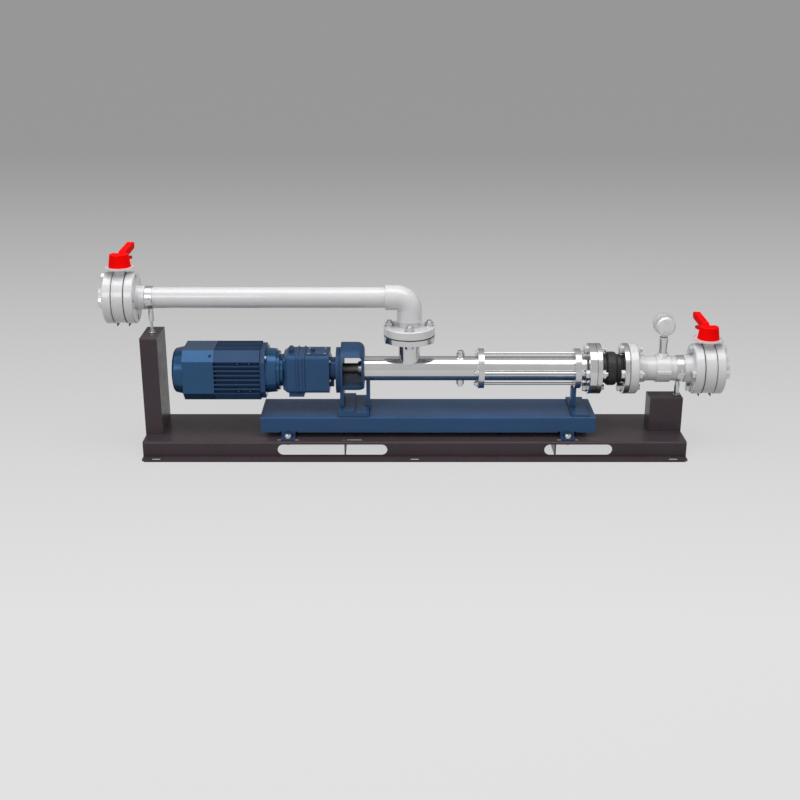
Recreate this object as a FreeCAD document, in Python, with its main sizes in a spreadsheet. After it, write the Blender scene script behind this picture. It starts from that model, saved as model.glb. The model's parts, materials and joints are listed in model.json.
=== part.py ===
"""Progressive cavity pump set on a folded skid, with its two butterfly valves, gauge and pipework.

The pump line runs along X, the front faces -Y and Z is up. The origin is the centre of the six
floor slots, in the plane of the skid's underside. All sizes are in millimetres.
"""

import FreeCAD, Part

import math
import os

import Sketcher

DOC = FreeCAD.newDocument("progressive_cavity_pump")
SHEET = DOC.addObject("Spreadsheet::Sheet", "sizes")
NODES = {}


class Size:
    """A number together with the sheet formula that gives it."""

    def __init__(self, formula, number):
        self.formula = formula
        self.number = float(number)

    def __float__(self):
        return self.number

    def __add__(self, other):
        return combined(self, "+", other)

    def __radd__(self, other):
        return combined(other, "+", self)

    def __sub__(self, other):
        return combined(self, "-", other)

    def __rsub__(self, other):
        return combined(other, "-", self)

    def __mul__(self, other):
        return combined(self, "*", other)

    def __rmul__(self, other):
        return combined(other, "*", self)

    def __truediv__(self, other):
        return combined(self, "/", other)

    def __neg__(self):
        return combined(-1, "*", self)


def formula_of(value):
    """The sheet formula of a Size, or the text of a plain number."""
    return value.formula if isinstance(value, Size) else f"{value:.9g}"


def combined(first, sign, second):
    """The Size that two operands give under +, -, * or /."""
    a = float(first)
    b = float(second)
    number = {"+": a + b, "-": a - b, "*": a * b, "/": a / b if b else 0.0}[sign]
    return Size(f"({formula_of(first)} {sign} {formula_of(second)})", number)


def third_side(hypotenuse, side):
    """The third side of a right-angled triangle."""
    square = hypotenuse * hypotenuse - side * side
    return Size(f"sqrt({square.formula})", math.sqrt(square.number))


SIZES = {
    # Fits between pieces
    "running_gap": 0.4,
    "shaft_fit": 0.05,
    "slip_fit": 0.3,

    # Skid tray: a folded sheet with slotted foot flanges
    "tray_length": 1640,
    "tray_depth": 250,
    "tray_height": 50,
    "tray_sheet": 4,
    "tray_bend": 7,
    "foot_flange": 36,
    "foot_corner": 10,
    "floor_slot_reach": 778,
    "floor_slot_length": 32,
    "floor_slot_width": 14,
    "fork_slot_height": 34,
    "left_fork_slot": 331,
    "left_fork_centre": -248,
    "right_fork_slot": 205,
    "right_fork_centre": 494,
    "rib_sheet": 4,
    "left_rib_x": -210,
    "right_rib_x": 425,
    "mount_slot_length": 72,
    "mount_slot_width": 13,
    "spare_slot_x": -188,
    "spare_slot_length": 64,

    # Pump base channel and its four bolts
    "base_start": -467,
    "base_length": 1015,
    "base_depth": 170,
    "base_height": 66,
    "base_lift": 15.5,
    "base_sheet": 5,
    "base_bend": 8,
    "base_tab_width": 42,
    "base_tab_reach": 28,
    "base_tab_notch": 7,
    "base_bolt_inset": 84,
    "base_bolt_radius": 5,
    "base_washer_radius": 10,
    "base_washer_height": 2,
    "base_nut_radius": 9.4,
    "base_nut_height": 8,

    # Pipe posts and their clamps
    "tall_post_height": 307,
    "tall_post_width": 52,
    "tall_post_depth": 132,
    "short_post_height": 108,
    "short_post_width": 100,
    "short_post_depth": 68,
    "post_sheet": 3,
    "post_bend": 4,
    "clamp_width": 20,
    "clamp_band": 3,
    "clamp_ear": 14,
    "clamp_rod_radius": 4,
    "clamp_nut_radius": 8,
    "clamp_nut_height": 26,
    "left_clamp_x": -793,
    "right_clamp_x": 806,

    # Plastic pipework
    "pipe_radius": 31.5,
    "pipe_wall": 3,
    "discharge_pipe_radius": 37.5,
    "flange_radius": 77.5,
    "flange_thick": 26.5,
    "flange_collar": 26,
    "flange_collar_wall": 6,
    "flange_pitch_radius": 60,
    "flange_hole_radius": 9.5,
    "flange_edge": 2.5,
    "gasket_thick": 2,
    "gasket_tab": 8,
    "gasket_tab_width": 26,
    "stub_length": 20,
    "suction_line_z": 466,
    "elbow_reach": 72,
    "elbow_socket_radius": 37.5,
    "elbow_socket": 30,
    "branch_x": -16,
    "branch_flange_z": 350,

    # Flange bolts
    "bolt_radius": 8,
    "bolt_head_radius": 13.5,
    "bolt_head_height": 11,
    "bolt_proud": 6,

    # Pump line stations and casings
    "pump_line_z": 243,
    "output_rise": 5,
    "lantern_flange": 15,
    "lantern_flange_radius": 70,
    "lantern_length": 86,
    "lantern_radius": 86,
    "lantern_shoulder": 8,
    "lantern_edge": 21,
    "lantern_chamfer": 12,
    "lantern_face": 6,
    "lantern_floor_drop": 39,
    "lantern_floor": 8,
    "lantern_wall": 10,
    "lantern_window": 57,
    "lantern_window_height": 84,
    "lantern_window_rise": 58,
    "lantern_window_corner": 10,
    "left_foot_sole": 18,
    "right_foot_sole": 12,
    "foot_web": 11,
    "foot_web_width": 100,
    "right_web_width": 52,
    "casing_start": -152,
    "casing_length": 345,
    "casing_radius": 37.5,
    "casing_wall": 3,
    "stator_length": 275,
    "end_plate_radius": 61,
    "end_plate_thick": 18,
    "tie_pitch_radius": 49,
    "tie_rod_radius": 4.5,
    "tie_nut_radius": 9,
    "tie_nut_height": 8,
    "leg_web": 15,
    "leg_width": 26,
    "leg_sole": 6,
    "leg_sole_length": 51,
    "nozzle_length": 22,
    "steel_flange": 24,
    "bellows_flange": 14,
    "bellows_length": 68,
    "bellows_radius": 51.5,
    "bellows_round": 8,
    "bellows_neck": 40,
    "branch_radius": 32.5,
    "branch_flange_thick": 16,
    "drain_port_x": 140,
    "port_radius": 12.5,
    "port_height": 11,
    "plug_height": 8,

    # Rotating set of the pump
    "drive_radius": 16,
    "eccentricity": 5,
    "rotor_radius": 15,
    "rotor_pitch": 68.75,
    "sections_per_turn": 8,
    "rotor_head_radius": 19,
    "rotor_head_length": 46,
    "joint_rod_radius": 9,
    "joint_eye_radius": 13,
    "joint_eye_length": 26,
    "joint_room": 0.6,
    "boot_radius": 17,
    "drive_head_radius": 21,
    "drive_head_length": 52,
    "seal_radius": 30,
    "seal_length": 24,

    # Gearbox
    "gearbox_length": 141,
    "gearbox_front": 50,
    "gearbox_rear": 62,
    "gearbox_low": 60,
    "gearbox_high": 58,
    "gearbox_corner": 12,
    "gearbox_wall": 4,
    "gearbox_cover": 16,
    "cover_chamfer": 10,
    "gearbox_lid_rise": 2.5,
    "gearbox_foot_drop": 15,
    "lug_radius": 8,
    "gearbox_collar": 20,
    "gearbox_collar_radius": 35,
    "output_bearing_radius": 24,
    "tooth_module": 1.25,
    "gear_width": 24,
    "pinion_teeth": 15,
    "wheel_teeth": 36,
    "input_stage_x": -372,
    "output_stage_x": -312,
    "layshaft_radius": 6,
    "layshaft_seat": 8,

    # Electric motor
    "motor_gap": 10,
    "motor_gap_radius": 49,
    "motor_bell": 41,
    "motor_bell_radius": 66,
    "motor_bell_step": 9,
    "motor_flange": 15,
    "motor_flange_half": 74,
    "motor_body": 138,
    "motor_half": 78,
    "motor_chamfer": 28,
    "groove_count": 7,
    "groove_pitch": 14.3,
    "groove_width": 9.5,
    "groove_depth": 9,
    "cowl_length": 94,
    "cowl_sheet": 3,
    "cowl_cap": 34,
    "cowl_cap_radius": 74.5,
    "cowl_nose_radius": 69,
    "cowl_round": 11,
    "motor_bore_radius": 66,
    "core_bore_radius": 44,
    "core_length": 96,
    "motor_shaft_radius": 12,
    "fan_radius": 62,
    "fan_width": 26,
    "fan_blades": 8,
    "fan_blade": 2.5,

    # Butterfly valves
    "valve_body_length": 33.5,
    "valve_body_radius": 75.5,
    "valve_liner_radius": 32,
    "valve_bore_radius": 26,
    "valve_tap_depth": 8,
    "valve_neck_width": 30,
    "valve_plate_rise": 90,
    "valve_plate_radius": 44,
    "valve_plate_thick": 5,
    "valve_ear": 5,
    "valve_stem_radius": 6,
    "disc_thick": 9,
    "hub_rise": 36.5,
    "hub_base_radius": 33,
    "hub_top_radius": 28,
    "lever_reach": 172,
    "lever_width": 20,
    "lever_height": 20,
    "latch_gap": 1,
    "latch_pin_radius": 2,
    "latch_pin_y": 74,
    "latch_pin_drop": 5,
    "latch_cheek": 3.5,
    "latch_reach": 150,
    "left_valve_face": -830.6,
    "right_valve_face": 844.6,

    # Pressure gauge
    "gauge_x": 755,
    "gauge_rise": 137,
    "gauge_radius": 29,
    "gauge_depth": 42,
    "gauge_wall": 1.5,
    "gauge_edge": 4.5,
    "bezel_radius": 33,
    "saddle_rise": 50,
    "saddle_width": 42,
    "seal_stem_radius": 13,
}


class Dimensions:
    """The driving dimensions, each written into the sheet under its own name."""

    def __init__(self, table):
        for row, (alias, value) in enumerate(table.items(), start=1):
            SHEET.set(f"A{row}", alias)
            SHEET.set(f"B{row}", str(value))
            SHEET.setAlias(f"B{row}", alias)
            setattr(self, alias, Size(f"sizes.{alias}", value))


dim = Dimensions(SIZES)

# Places worked out from the sizes above
lantern_back = dim.casing_start - dim.lantern_length
gearbox_end = lantern_back - dim.gearbox_collar
gearbox_start = gearbox_end - dim.gearbox_length
bell_end = gearbox_start - dim.motor_gap
motor_flange_end = bell_end - dim.motor_bell
fins_end = motor_flange_end - dim.motor_flange
cowl_end = fins_end - dim.motor_body
cowl_start = cowl_end - dim.cowl_length
casing_end = dim.casing_start + dim.casing_length
stator_start = casing_end + dim.end_plate_thick
stator_end = stator_start + dim.stator_length
outlet_plate_end = stator_end + dim.end_plate_thick
nozzle_end = outlet_plate_end + dim.nozzle_length
steel_face = nozzle_end + dim.steel_flange
bellows_start = steel_face + dim.bellows_flange
bellows_end = bellows_start + dim.bellows_length
second_bellows_face = bellows_end + dim.bellows_flange
base_top = dim.tray_height + dim.base_height
base_wall_y = dim.base_depth / 2
base_bolt_y = base_wall_y + 16.5
gearbox_inner_end = gearbox_end - dim.gearbox_wall - 16
motor_line_z = dim.pump_line_z - dim.output_rise
half_rise = dim.output_rise / 2
lay_y = third_side(dim.tooth_module * (dim.pinion_teeth + dim.wheel_teeth) / 2, half_rise)
lay_z = motor_line_z + half_rise
pipe_bore = dim.pipe_radius - dim.pipe_wall

TURN = {
    "X": FreeCAD.Rotation(FreeCAD.Vector(0, 1, 0), 90),
    "Y": FreeCAD.Rotation(FreeCAD.Vector(1, 0, 0), -90),
    "Z": FreeCAD.Rotation(),
}
QUARTERS = [0, 90, 180, 270]


def bind(item, path, size):
    """Tie a property to the sheet, or give it a plain number."""
    if isinstance(size, Size):
        item.setExpression(path, size.formula)
    else:
        setattr(item, path, size)


def place(item, at, turn=None):
    """Put an object at a point, with each coordinate tied to the sheet."""
    point = FreeCAD.Vector(*[float(value) for value in at])
    item.Placement = FreeCAD.Placement(point, turn or FreeCAD.Rotation())
    for letter, value in zip("xyz", at):
        if isinstance(value, Size):
            item.setExpression(f"Placement.Base.{letter}", value.formula)
    return item


def block(corner, size):
    """A box from its low corner and its three sides."""
    item = DOC.addObject("Part::Box", "block")
    for path, side in zip(("Length", "Width", "Height"), size):
        bind(item, path, side)
    return place(item, corner)


def rod(at, axis, radius, length):
    """A cylinder from its base centre along an axis."""
    item = DOC.addObject("Part::Cylinder", "rod")
    bind(item, "Radius", radius)
    bind(item, "Height", length)
    return place(item, at, TURN[axis])


def taper(at, axis, radius, far_radius, length):
    """A truncated cone from its base centre along an axis."""
    item = DOC.addObject("Part::Cone", "taper")
    bind(item, "Radius1", radius)
    bind(item, "Radius2", far_radius)
    bind(item, "Height", length)
    return place(item, at, TURN[axis])


def hexagon(at, axis, radius, length):
    """A hexagonal prism from its base centre along an axis."""
    item = DOC.addObject("Part::Prism", "hexagon")
    item.Polygon = 6
    bind(item, "Circumradius", radius)
    bind(item, "Height", length)
    return place(item, at, TURN[axis])


def fuse(pieces):
    """One solid from several that touch or overlap."""
    item = DOC.addObject("Part::MultiFuse", "joined")
    item.Shapes = pieces
    item.Refine = True
    return item


def cut(base, tools):
    """A solid less one or more tools."""
    item = DOC.addObject("Part::Cut", "cut")
    item.Base = base
    item.Tool = tools[0] if len(tools) == 1 else fuse(tools)
    item.Refine = True
    return item


def group(pieces):
    """Several separate solids kept together as one sub-part."""
    item = DOC.addObject("Part::Compound", "group")
    item.Links = pieces
    return item


def node(label, item):
    """Name an object as one of the object's sub-parts."""
    item.Label = label
    NODES[label] = item
    return item


def origin_plane(body, role):
    """One of a body's own origin planes."""
    return next(item for item in body.Origin.OriginFeatures if item.Role == role)


def arc_between(start, end, radius):
    """An arc by its ends and radius: a positive radius has its centre left of the way."""
    chord = end - start
    half = chord.Length / 2
    side = FreeCAD.Vector(-chord.y, chord.x, 0).normalize()
    rise = math.sqrt(max(radius * radius - half * half, 0.0))
    centre = start + chord * 0.5 + side * (rise if radius > 0 else -rise)
    circle = Part.Circle(centre, FreeCAD.Vector(0, 0, 1), abs(radius))
    first, last = (start, end) if radius > 0 else (end, start)
    angles = [math.atan2(point.y - centre.y, point.x - centre.x) for point in (first, last)]
    return Part.ArcOfCircle(circle, angles[0], angles[1])


def outline(body, role, steps):
    """A closed sketch through (u, v) points; a third value makes the way to that point an arc."""
    sketch = body.newObject("Sketcher::SketchObject", "outline")
    sketch.AttachmentSupport = [(origin_plane(body, role), "")]
    sketch.MapMode = "FlatFace"
    count = len(steps)
    points = [FreeCAD.Vector(float(step[0]), float(step[1]), 0) for step in steps]
    ends = []
    for index in range(count):
        following = steps[(index + 1) % count]
        start = points[index]
        end = points[(index + 1) % count]
        if len(following) == 3:
            radius = following[2]
            edge = sketch.addGeometry(arc_between(start, end, float(radius)), False)
            ends.append((1, 2) if float(radius) > 0 else (2, 1))
            size = radius if float(radius) > 0 else -radius
            key = sketch.addConstraint(Sketcher.Constraint("Radius", edge, float(size)))
            if isinstance(size, Size):
                sketch.setExpression(f"Constraints[{key}]", size.formula)
        else:
            sketch.addGeometry(Part.LineSegment(start, end), False)
            ends.append((1, 2))
    for index in range(count):
        following = (index + 1) % count
        joint = Sketcher.Constraint("Coincident", index, ends[index][1], following, ends[following][0])
        sketch.addConstraint(joint)
        for kind, value in zip(("DistanceX", "DistanceY"), steps[index]):
            rule = Sketcher.Constraint(kind, -1, 1, index, ends[index][0], float(value))
            key = sketch.addConstraint(rule)
            if isinstance(value, Size):
                sketch.setExpression(f"Constraints[{key}]", value.formula)
    return sketch


def turned(axis, at, steps):
    """A body revolved from (along, radius) points about an axis through a point."""
    body = DOC.addObject("PartDesign::Body", "turned")
    along_x = axis == "X"
    sketch = outline(
        body, "XZ_Plane", steps if along_x else [(step[1], step[0], *step[2:]) for step in steps]
    )
    turn = body.newObject("PartDesign::Revolution", "revolution")
    turn.Profile = sketch
    turn.ReferenceAxis = (sketch, ["H_Axis" if along_x else "V_Axis"])
    turn.Angle = 360
    return place(body, at, None if along_x else TURN[axis])


def plate(role, at, steps, length, centred=True):
    """A body padded from a closed outline on one of its origin planes."""
    body = DOC.addObject("PartDesign::Body", "plate")
    sketch = outline(body, role, steps)
    pad = body.newObject("PartDesign::Pad", "pad")
    pad.Profile = sketch
    bind(pad, "Length", length)
    if centred:
        pad.SideType = "Symmetric"
    return place(body, at)


def ring(axis, at, outer, inner, length):
    """A plain ring or tube."""
    return turned(axis, at, [(0, inner), (length, inner), (length, outer), (0, outer)])


def slot(centre, length, width, height, axis):
    """A round-ended slot cutter along X, pushed through along Z or Y from its base centre."""
    x, y, z = centre
    radius = width / 2
    half = length / 2 - radius
    ends = [rod((x + half * side, y, z), axis, radius, height) for side in (-1, 1)]
    if axis == "Z":
        middle = block((x - half, y - radius, z), (half * 2, width, height))
    else:
        middle = block((x - half, y, z - radius), (half * 2, height, width))
    return fuse([middle, *ends])


def around(angle, radius):
    """The (Y, Z) offset of a point on a circle about an X axis."""
    turn = math.radians(angle)
    return radius * round(math.cos(turn), 9), radius * round(math.sin(turn), 9)


def skid_tray():
    """The folded hat-section tray with its fork, floor and mounting slots."""
    edge = dim.tray_depth / 2
    toe = edge + dim.foot_flange
    inner = edge - dim.tray_sheet
    roof = dim.tray_height - dim.tray_sheet
    steps = [
        (-toe, 0), (-inner, 0), (-inner, roof), (inner, roof), (inner, 0), (toe, 0),
        (toe, dim.tray_sheet), (edge, dim.tray_sheet), (edge, dim.tray_height - dim.tray_bend),
        (edge - dim.tray_bend, dim.tray_height, dim.tray_bend), (dim.tray_bend - edge, dim.tray_height),
        (-edge, dim.tray_height - dim.tray_bend, dim.tray_bend), (-edge, dim.tray_sheet),
        (-toe, dim.tray_sheet),
    ]
    sheet = plate("YZ_Plane", (0, 0, 0), steps, dim.tray_length)
    tools = []
    for end in (-1, 1):
        for side in (-1, 1):
            corner = DOC.addObject("Part::Box", "corner")
            for path in ("Length", "Width", "Height"):
                bind(corner, path, dim.foot_corner * 1.4142)
            turn = FreeCAD.Rotation(FreeCAD.Vector(0, 0, 1), 45)
            place(
                corner, (dim.tray_length / 2 * end, toe * side - dim.foot_corner, -dim.foot_corner / 2),
                turn
            )
            tools.append(corner)
    through = dim.tray_sheet * 3
    for side in (-1, 1):
        for step in (-1, 0, 1):
            spot = (dim.floor_slot_reach * step, (edge + dim.foot_flange / 2) * side, -dim.tray_sheet)
            tools.append(slot(spot, dim.floor_slot_length, dim.floor_slot_width, through, "Z"))
        for place_x, size in (
            (dim.left_fork_centre, dim.left_fork_slot), (dim.right_fork_centre, dim.right_fork_slot)
        ):
            low = edge * side - dim.tray_sheet * 1.5
            tools.append(
                slot((place_x, low, dim.tray_height / 2), size, dim.fork_slot_height, through, "Y")
            )
        for place_x in base_bolt_places():
            spot = (place_x, base_bolt_y * side, roof - dim.tray_sheet)
            tools.append(slot(spot, dim.mount_slot_length, dim.mount_slot_width, through, "Z"))
        spot = (dim.spare_slot_x, base_bolt_y * side, roof - dim.tray_sheet)
        tools.append(slot(spot, dim.spare_slot_length, dim.mount_slot_width, through, "Z"))
    return node("skid_tray", cut(sheet, tools))


def base_bolt_places():
    """The two X positions of the base channel's bolts."""
    return (dim.base_start + dim.base_bolt_inset, dim.base_start + dim.base_length - dim.base_bolt_inset)


def tray_cross_ribs():
    """Two sheet ribs welded across under the tray top."""
    inner = dim.tray_depth / 2 - dim.tray_sheet
    height = dim.tray_height - dim.tray_sheet * 2
    ribs = []
    for place_x in (dim.left_rib_x, dim.right_rib_x):
        corner = (place_x - dim.rib_sheet / 2, -inner, dim.tray_sheet)
        ribs.append(block(corner, (dim.rib_sheet, inner * 2, height)))
    return node("tray_cross_ribs", group(ribs))


def post(label, near_x, width, depth, height, seam):
    """A folded box post, open underneath, with a pipe support rod hole in its top."""
    half = depth / 2
    top = dim.tray_height + height
    steps = [
        (-half, dim.tray_height), (half, dim.tray_height), (half, top - dim.post_bend),
        (half - dim.post_bend, top, dim.post_bend), (dim.post_bend - half, top),
        (-half, top - dim.post_bend, dim.post_bend),
    ]
    outer = plate("YZ_Plane", (near_x + width / 2, 0, 0), steps, width)
    corner = (near_x + dim.post_sheet, dim.post_sheet - half, dim.tray_height - dim.post_sheet)
    hollow = block(corner, (width - dim.post_sheet * 2, depth - dim.post_sheet * 2, height))
    tools = [hollow]
    if seam:
        seam_width = dim.post_sheet / 2
        tools.append(
            block(
                (near_x + dim.post_sheet, 5, top - dim.post_sheet * 2),
                (width * 0.78, seam_width, dim.post_sheet * 3)
            )
        )
    return node(label, cut(outer, tools))


def posts():
    """The tall suction post and the short discharge post, flush with the tray's ends."""
    tall_x = -dim.tray_length / 2
    short_x = dim.tray_length / 2 - dim.short_post_width
    post("tall_post", tall_x, dim.tall_post_width, dim.tall_post_depth, dim.tall_post_height, False)
    post("short_post", short_x, dim.short_post_width, dim.short_post_depth, dim.short_post_height, True)


def pump_base_channel():
    """The painted channel that carries the pump, raised on four bolted foot tabs."""
    edge = dim.base_depth / 2
    inner = edge - dim.base_sheet
    low = dim.tray_height + dim.base_lift
    steps = [
        (-edge, low), (-inner, low), (-inner, base_top - dim.base_sheet),
        (inner, base_top - dim.base_sheet),
        (inner, low), (edge, low), (edge, base_top - dim.base_bend),
        (edge - dim.base_bend, base_top, dim.base_bend), (dim.base_bend - edge, base_top),
        (-edge, base_top - dim.base_bend, dim.base_bend),
    ]
    middle = dim.base_start + dim.base_length / 2
    pieces = [plate("YZ_Plane", (middle, 0, 0), steps, dim.base_length)]
    holes = []
    notches = []
    for place_x in base_bolt_places():
        for side in (-1, 1):
            wall_y = inner if side > 0 else -edge
            flat_y = inner if side > 0 else -edge - dim.base_tab_reach
            left = place_x - dim.base_tab_width / 2
            pieces.append(
                block(
                    (left, wall_y, dim.tray_height),
                    (dim.base_tab_width, dim.base_sheet, dim.base_lift + dim.base_sheet)
                )
            )
            pieces.append(
                block(
                    (left, flat_y, dim.tray_height),
                    (dim.base_tab_width, dim.base_tab_reach + dim.base_sheet, dim.base_sheet)
                )
            )
            holes.append(
                rod(
                    (place_x, base_bolt_y * side, dim.tray_height - 1), "Z",
                    dim.base_bolt_radius + dim.slip_fit, dim.base_sheet + 2
                )
            )
            for end in (-1, 1):
                spot = place_x + (dim.base_tab_width / 2 + dim.base_tab_notch / 2) * end
                notches.append(
                    rod((spot, wall_y - 1, low), "Y", dim.base_tab_notch / 2, dim.base_sheet + 2)
                )
    return node("pump_base_channel", cut(fuse(pieces), [*holes, *notches]))


def base_bolts():
    """Four bolts with washers and nuts that hold the channel's tabs to the tray."""
    bolts = []
    under = dim.tray_height - dim.tray_sheet
    for place_x in base_bolt_places():
        for side in (-1, 1):
            y = base_bolt_y * side
            seat = dim.tray_height + dim.base_sheet
            shank_low = under - dim.base_washer_height - dim.base_nut_height - dim.bolt_proud / 2
            head_z = seat + dim.base_washer_height
            pieces = [
                rod((place_x, y, shank_low), "Z", dim.base_bolt_radius, head_z - shank_low),
                rod((place_x, y, seat), "Z", dim.base_washer_radius, dim.base_washer_height),
                hexagon((place_x, y, head_z), "Z", dim.base_nut_radius, dim.base_nut_height * 0.8),
                rod(
                    (place_x, y, under - dim.base_washer_height), "Z", dim.base_washer_radius,
                    dim.base_washer_height
                ),
                hexagon(
                    (place_x, y, under - dim.base_washer_height - dim.base_nut_height), "Z",
                    dim.base_nut_radius, dim.base_nut_height
                ),
            ]
            bolts.append(fuse(pieces))
    return node("base_bolts", group(bolts))


def clamp_places():
    """Each clamp's X, pipe line height, pipe radius and post top height."""
    return (
        (dim.left_clamp_x, dim.suction_line_z, dim.pipe_radius, dim.tray_height + dim.tall_post_height),
        (
            dim.right_clamp_x, dim.pump_line_z, dim.discharge_pipe_radius,
            dim.tray_height + dim.short_post_height
        ),
    )


def pipe_clamps():
    """Two split band clamps with their screws, and the threaded rods that carry them."""
    clamps = clamp_rods()
    for x, z, pipe, _top in clamp_places():
        inner = pipe + dim.slip_fit
        outer = inner + dim.clamp_band
        left = x - dim.clamp_width / 2
        band = rod((left, 0, z), "X", outer, dim.clamp_width)
        ears = block(
            (left, -outer - dim.clamp_ear, z - 3.5), (dim.clamp_width, (outer + dim.clamp_ear) * 2, 7)
        )
        boss = rod((x, 0, z - outer - 12), "Z", 7, 14)
        screws = []
        for side in (-1, 1):
            y = (outer + dim.clamp_ear / 2) * side
            screws.append(rod((x, y, z - 7.5), "Z", 3, 15))
            screws.append(rod((x, y, z + 3.5), "Z", 5, 5))
        whole = fuse([band, ears, boss, *screws])
        clamps.append(cut(whole, [rod((left - 1, 0, z), "X", inner, dim.clamp_width + 2)]))
    return node("pipe_clamps", group(clamps))


def clamp_rods():
    """The threaded rods that carry the clamps, each with a long coupling nut and a foot nut."""
    rods = []
    for x, z, pipe, top in clamp_places():
        boss_low = z - pipe - dim.slip_fit - dim.clamp_band - 12
        nut_low = boss_low - dim.clamp_nut_height
        foot = rod((x, 0, top), "Z", dim.clamp_rod_radius, boss_low - top)
        nut = hexagon((x, 0, nut_low), "Z", dim.clamp_nut_radius, dim.clamp_nut_height)
        washer = rod((x, 0, top), "Z", dim.clamp_nut_radius * 1.3, 2)
        foot_nut = hexagon((x, 0, top + 2), "Z", dim.clamp_nut_radius * 0.9, 6)
        rods.append(fuse([foot, nut, washer, foot_nut]))
    return rods


def chamfered_square(half, chamfer):
    """The corner points of a square section with its corners cut off."""
    flat = half - chamfer
    return [
        (flat, -half), (half, -flat), (half, flat), (flat, half),
        (-flat, half), (-half, flat), (-half, -flat), (-flat, -half),
    ]


def cooling_grooves():
    """Cutters for the grooves along the four flats of the motor's barrel."""
    z = motor_line_z
    floor = dim.motor_half - dim.groove_depth
    over = dim.groove_depth + 1
    tools = []
    for index in range(int(float(dim.groove_count))):
        step = index - (float(dim.groove_count) - 1) / 2
        low = dim.groove_pitch * step - dim.groove_width / 2
        along = (cowl_end - 1, dim.motor_body + 1)
        for side in (1, -1):
            out = floor if side > 0 else -floor - over
            tools.append(block((along[0], out, z + low), (along[1], over, dim.groove_width)))
            tools.append(block((along[0], low, z + out), (along[1], dim.groove_width, over)))
    return tools


def motor_housing():
    """The grooved barrel with its drive-end flange and the terminal pad behind."""
    z = motor_line_z
    section = chamfered_square(dim.motor_half, dim.motor_chamfer)
    barrel = plate("YZ_Plane", (cowl_end + dim.motor_body / 2, 0, z), section, dim.motor_body)
    rim = chamfered_square(dim.motor_flange_half, dim.motor_chamfer)
    flange = plate("YZ_Plane", (fins_end + dim.motor_flange / 2, 0, z), rim, dim.motor_flange)
    pad = block((cowl_end + 30, dim.motor_half - dim.groove_depth, z - 44), (84, dim.groove_depth + 6, 88))
    whole = fuse([cut(barrel, cooling_grooves()), flange, pad])
    bore = rod((cowl_end - 1, 0, z), "X", dim.motor_bore_radius, dim.motor_body + dim.motor_flange + 2)
    return node("motor_housing", cut(whole, [bore]))


def terminal_box():
    """The terminal box on the motor's hidden side, with its lid and one blanked cable entry."""
    z = motor_line_z
    y = dim.motor_half + 6
    case = block((cowl_end + 34, y, z - 40), (76, 34, 80))
    lid = block((cowl_end + 32, y + 34, z - 42), (80, 6, 84))
    gland = hexagon((cowl_end + 72, y + 17, z - 52), "Z", 13, 12)
    return node("motor_terminal_box", fuse([case, lid, gland]))


def motor_fan_cowl():
    """The fan cowl, a chamfered square sleeve with a round tapering intake cap."""
    z = motor_line_z
    middle = cowl_start + dim.cowl_length / 2
    sleeve = plate(
        "YZ_Plane", (middle, 0, z), chamfered_square(dim.motor_half, dim.motor_chamfer), dim.cowl_length
    )
    room = chamfered_square(dim.motor_half - dim.cowl_sheet, dim.motor_chamfer)
    inside = plate("YZ_Plane", (middle + dim.cowl_sheet, 0, z), room, dim.cowl_length)
    nose = cowl_start - dim.cowl_cap
    seat = cowl_start + dim.cowl_sheet / 2
    round_end = nose + dim.cowl_round
    cap = turned("X", (0, 0, z), [
        (nose, 0), (seat, 0), (seat, dim.cowl_cap_radius), (round_end, dim.cowl_nose_radius),
        (nose, dim.cowl_nose_radius - dim.cowl_round, dim.cowl_round),
    ])
    flat_radius = dim.cowl_nose_radius - dim.cowl_round
    hollow = rod((nose + dim.cowl_sheet, 0, z), "X", flat_radius, dim.cowl_cap)
    reach = seat + dim.cowl_sheet - round_end
    wide = dim.cowl_cap_radius - dim.cowl_sheet
    shaft_room = taper((round_end, 0, z), "X", dim.cowl_nose_radius - dim.cowl_sheet, wide, reach)
    return node("motor_fan_cowl", cut(fuse([cut(sleeve, [inside]), cap]), [hollow, shaft_room]))


def motor_end_shields():
    """The drive end's round bell with its spigot ring, and the rear shield inside the cowl."""
    inner = dim.motor_gap_radius - 20
    bore = dim.motor_shaft_radius + 14
    step = dim.motor_bell_step
    bell = turned("X", (0, 0, motor_line_z), [
        (motor_flange_end, bore), (bell_end - 8, bore), (bell_end - 8, inner), (gearbox_start, inner),
        (gearbox_start, dim.motor_gap_radius), (bell_end, dim.motor_gap_radius),
        (bell_end, dim.motor_bell_radius - 6), (bell_end - step, dim.motor_bell_radius - 6),
        (bell_end - step, dim.motor_bell_radius), (motor_flange_end, dim.motor_bell_radius + 3),
    ])
    start = cowl_end - 14
    rim = dim.motor_half - dim.cowl_sheet - dim.slip_fit
    seat = dim.motor_shaft_radius + 10
    rear = turned("X", (0, 0, motor_line_z), [
        (start, seat), (cowl_end + 10, seat), (cowl_end + 10, seat + 5),
        (cowl_end, dim.motor_bore_radius - 6),
        (cowl_end, rim), (start + 6, rim), (start + 6, seat + 6), (start, seat + 6),
    ])
    return node("motor_end_shields", group([bell, rear]))


def motor_stator_core():
    """The wound stator core pressed into the barrel."""
    start = cowl_end + (dim.motor_body - dim.core_length) / 2
    core = ring("X", (start, 0, motor_line_z), dim.motor_bore_radius, dim.core_bore_radius, dim.core_length)
    return node("motor_stator_core", core)


def bearing(x, z, bore, outer, width):
    """One closed ball bearing as a grooved ring about a bore."""
    mid = (bore + outer) / 2
    lip = (outer - bore) * 0.2
    return turned("X", (x, 0, z), [
        (0, bore), (width, bore), (width, mid - lip), (width - 1, mid - lip), (width - 1, mid + lip),
        (width, mid + lip), (width, outer), (0, outer), (0, mid + lip), (1, mid + lip),
        (1, mid - lip), (0, mid - lip),
    ])


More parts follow.
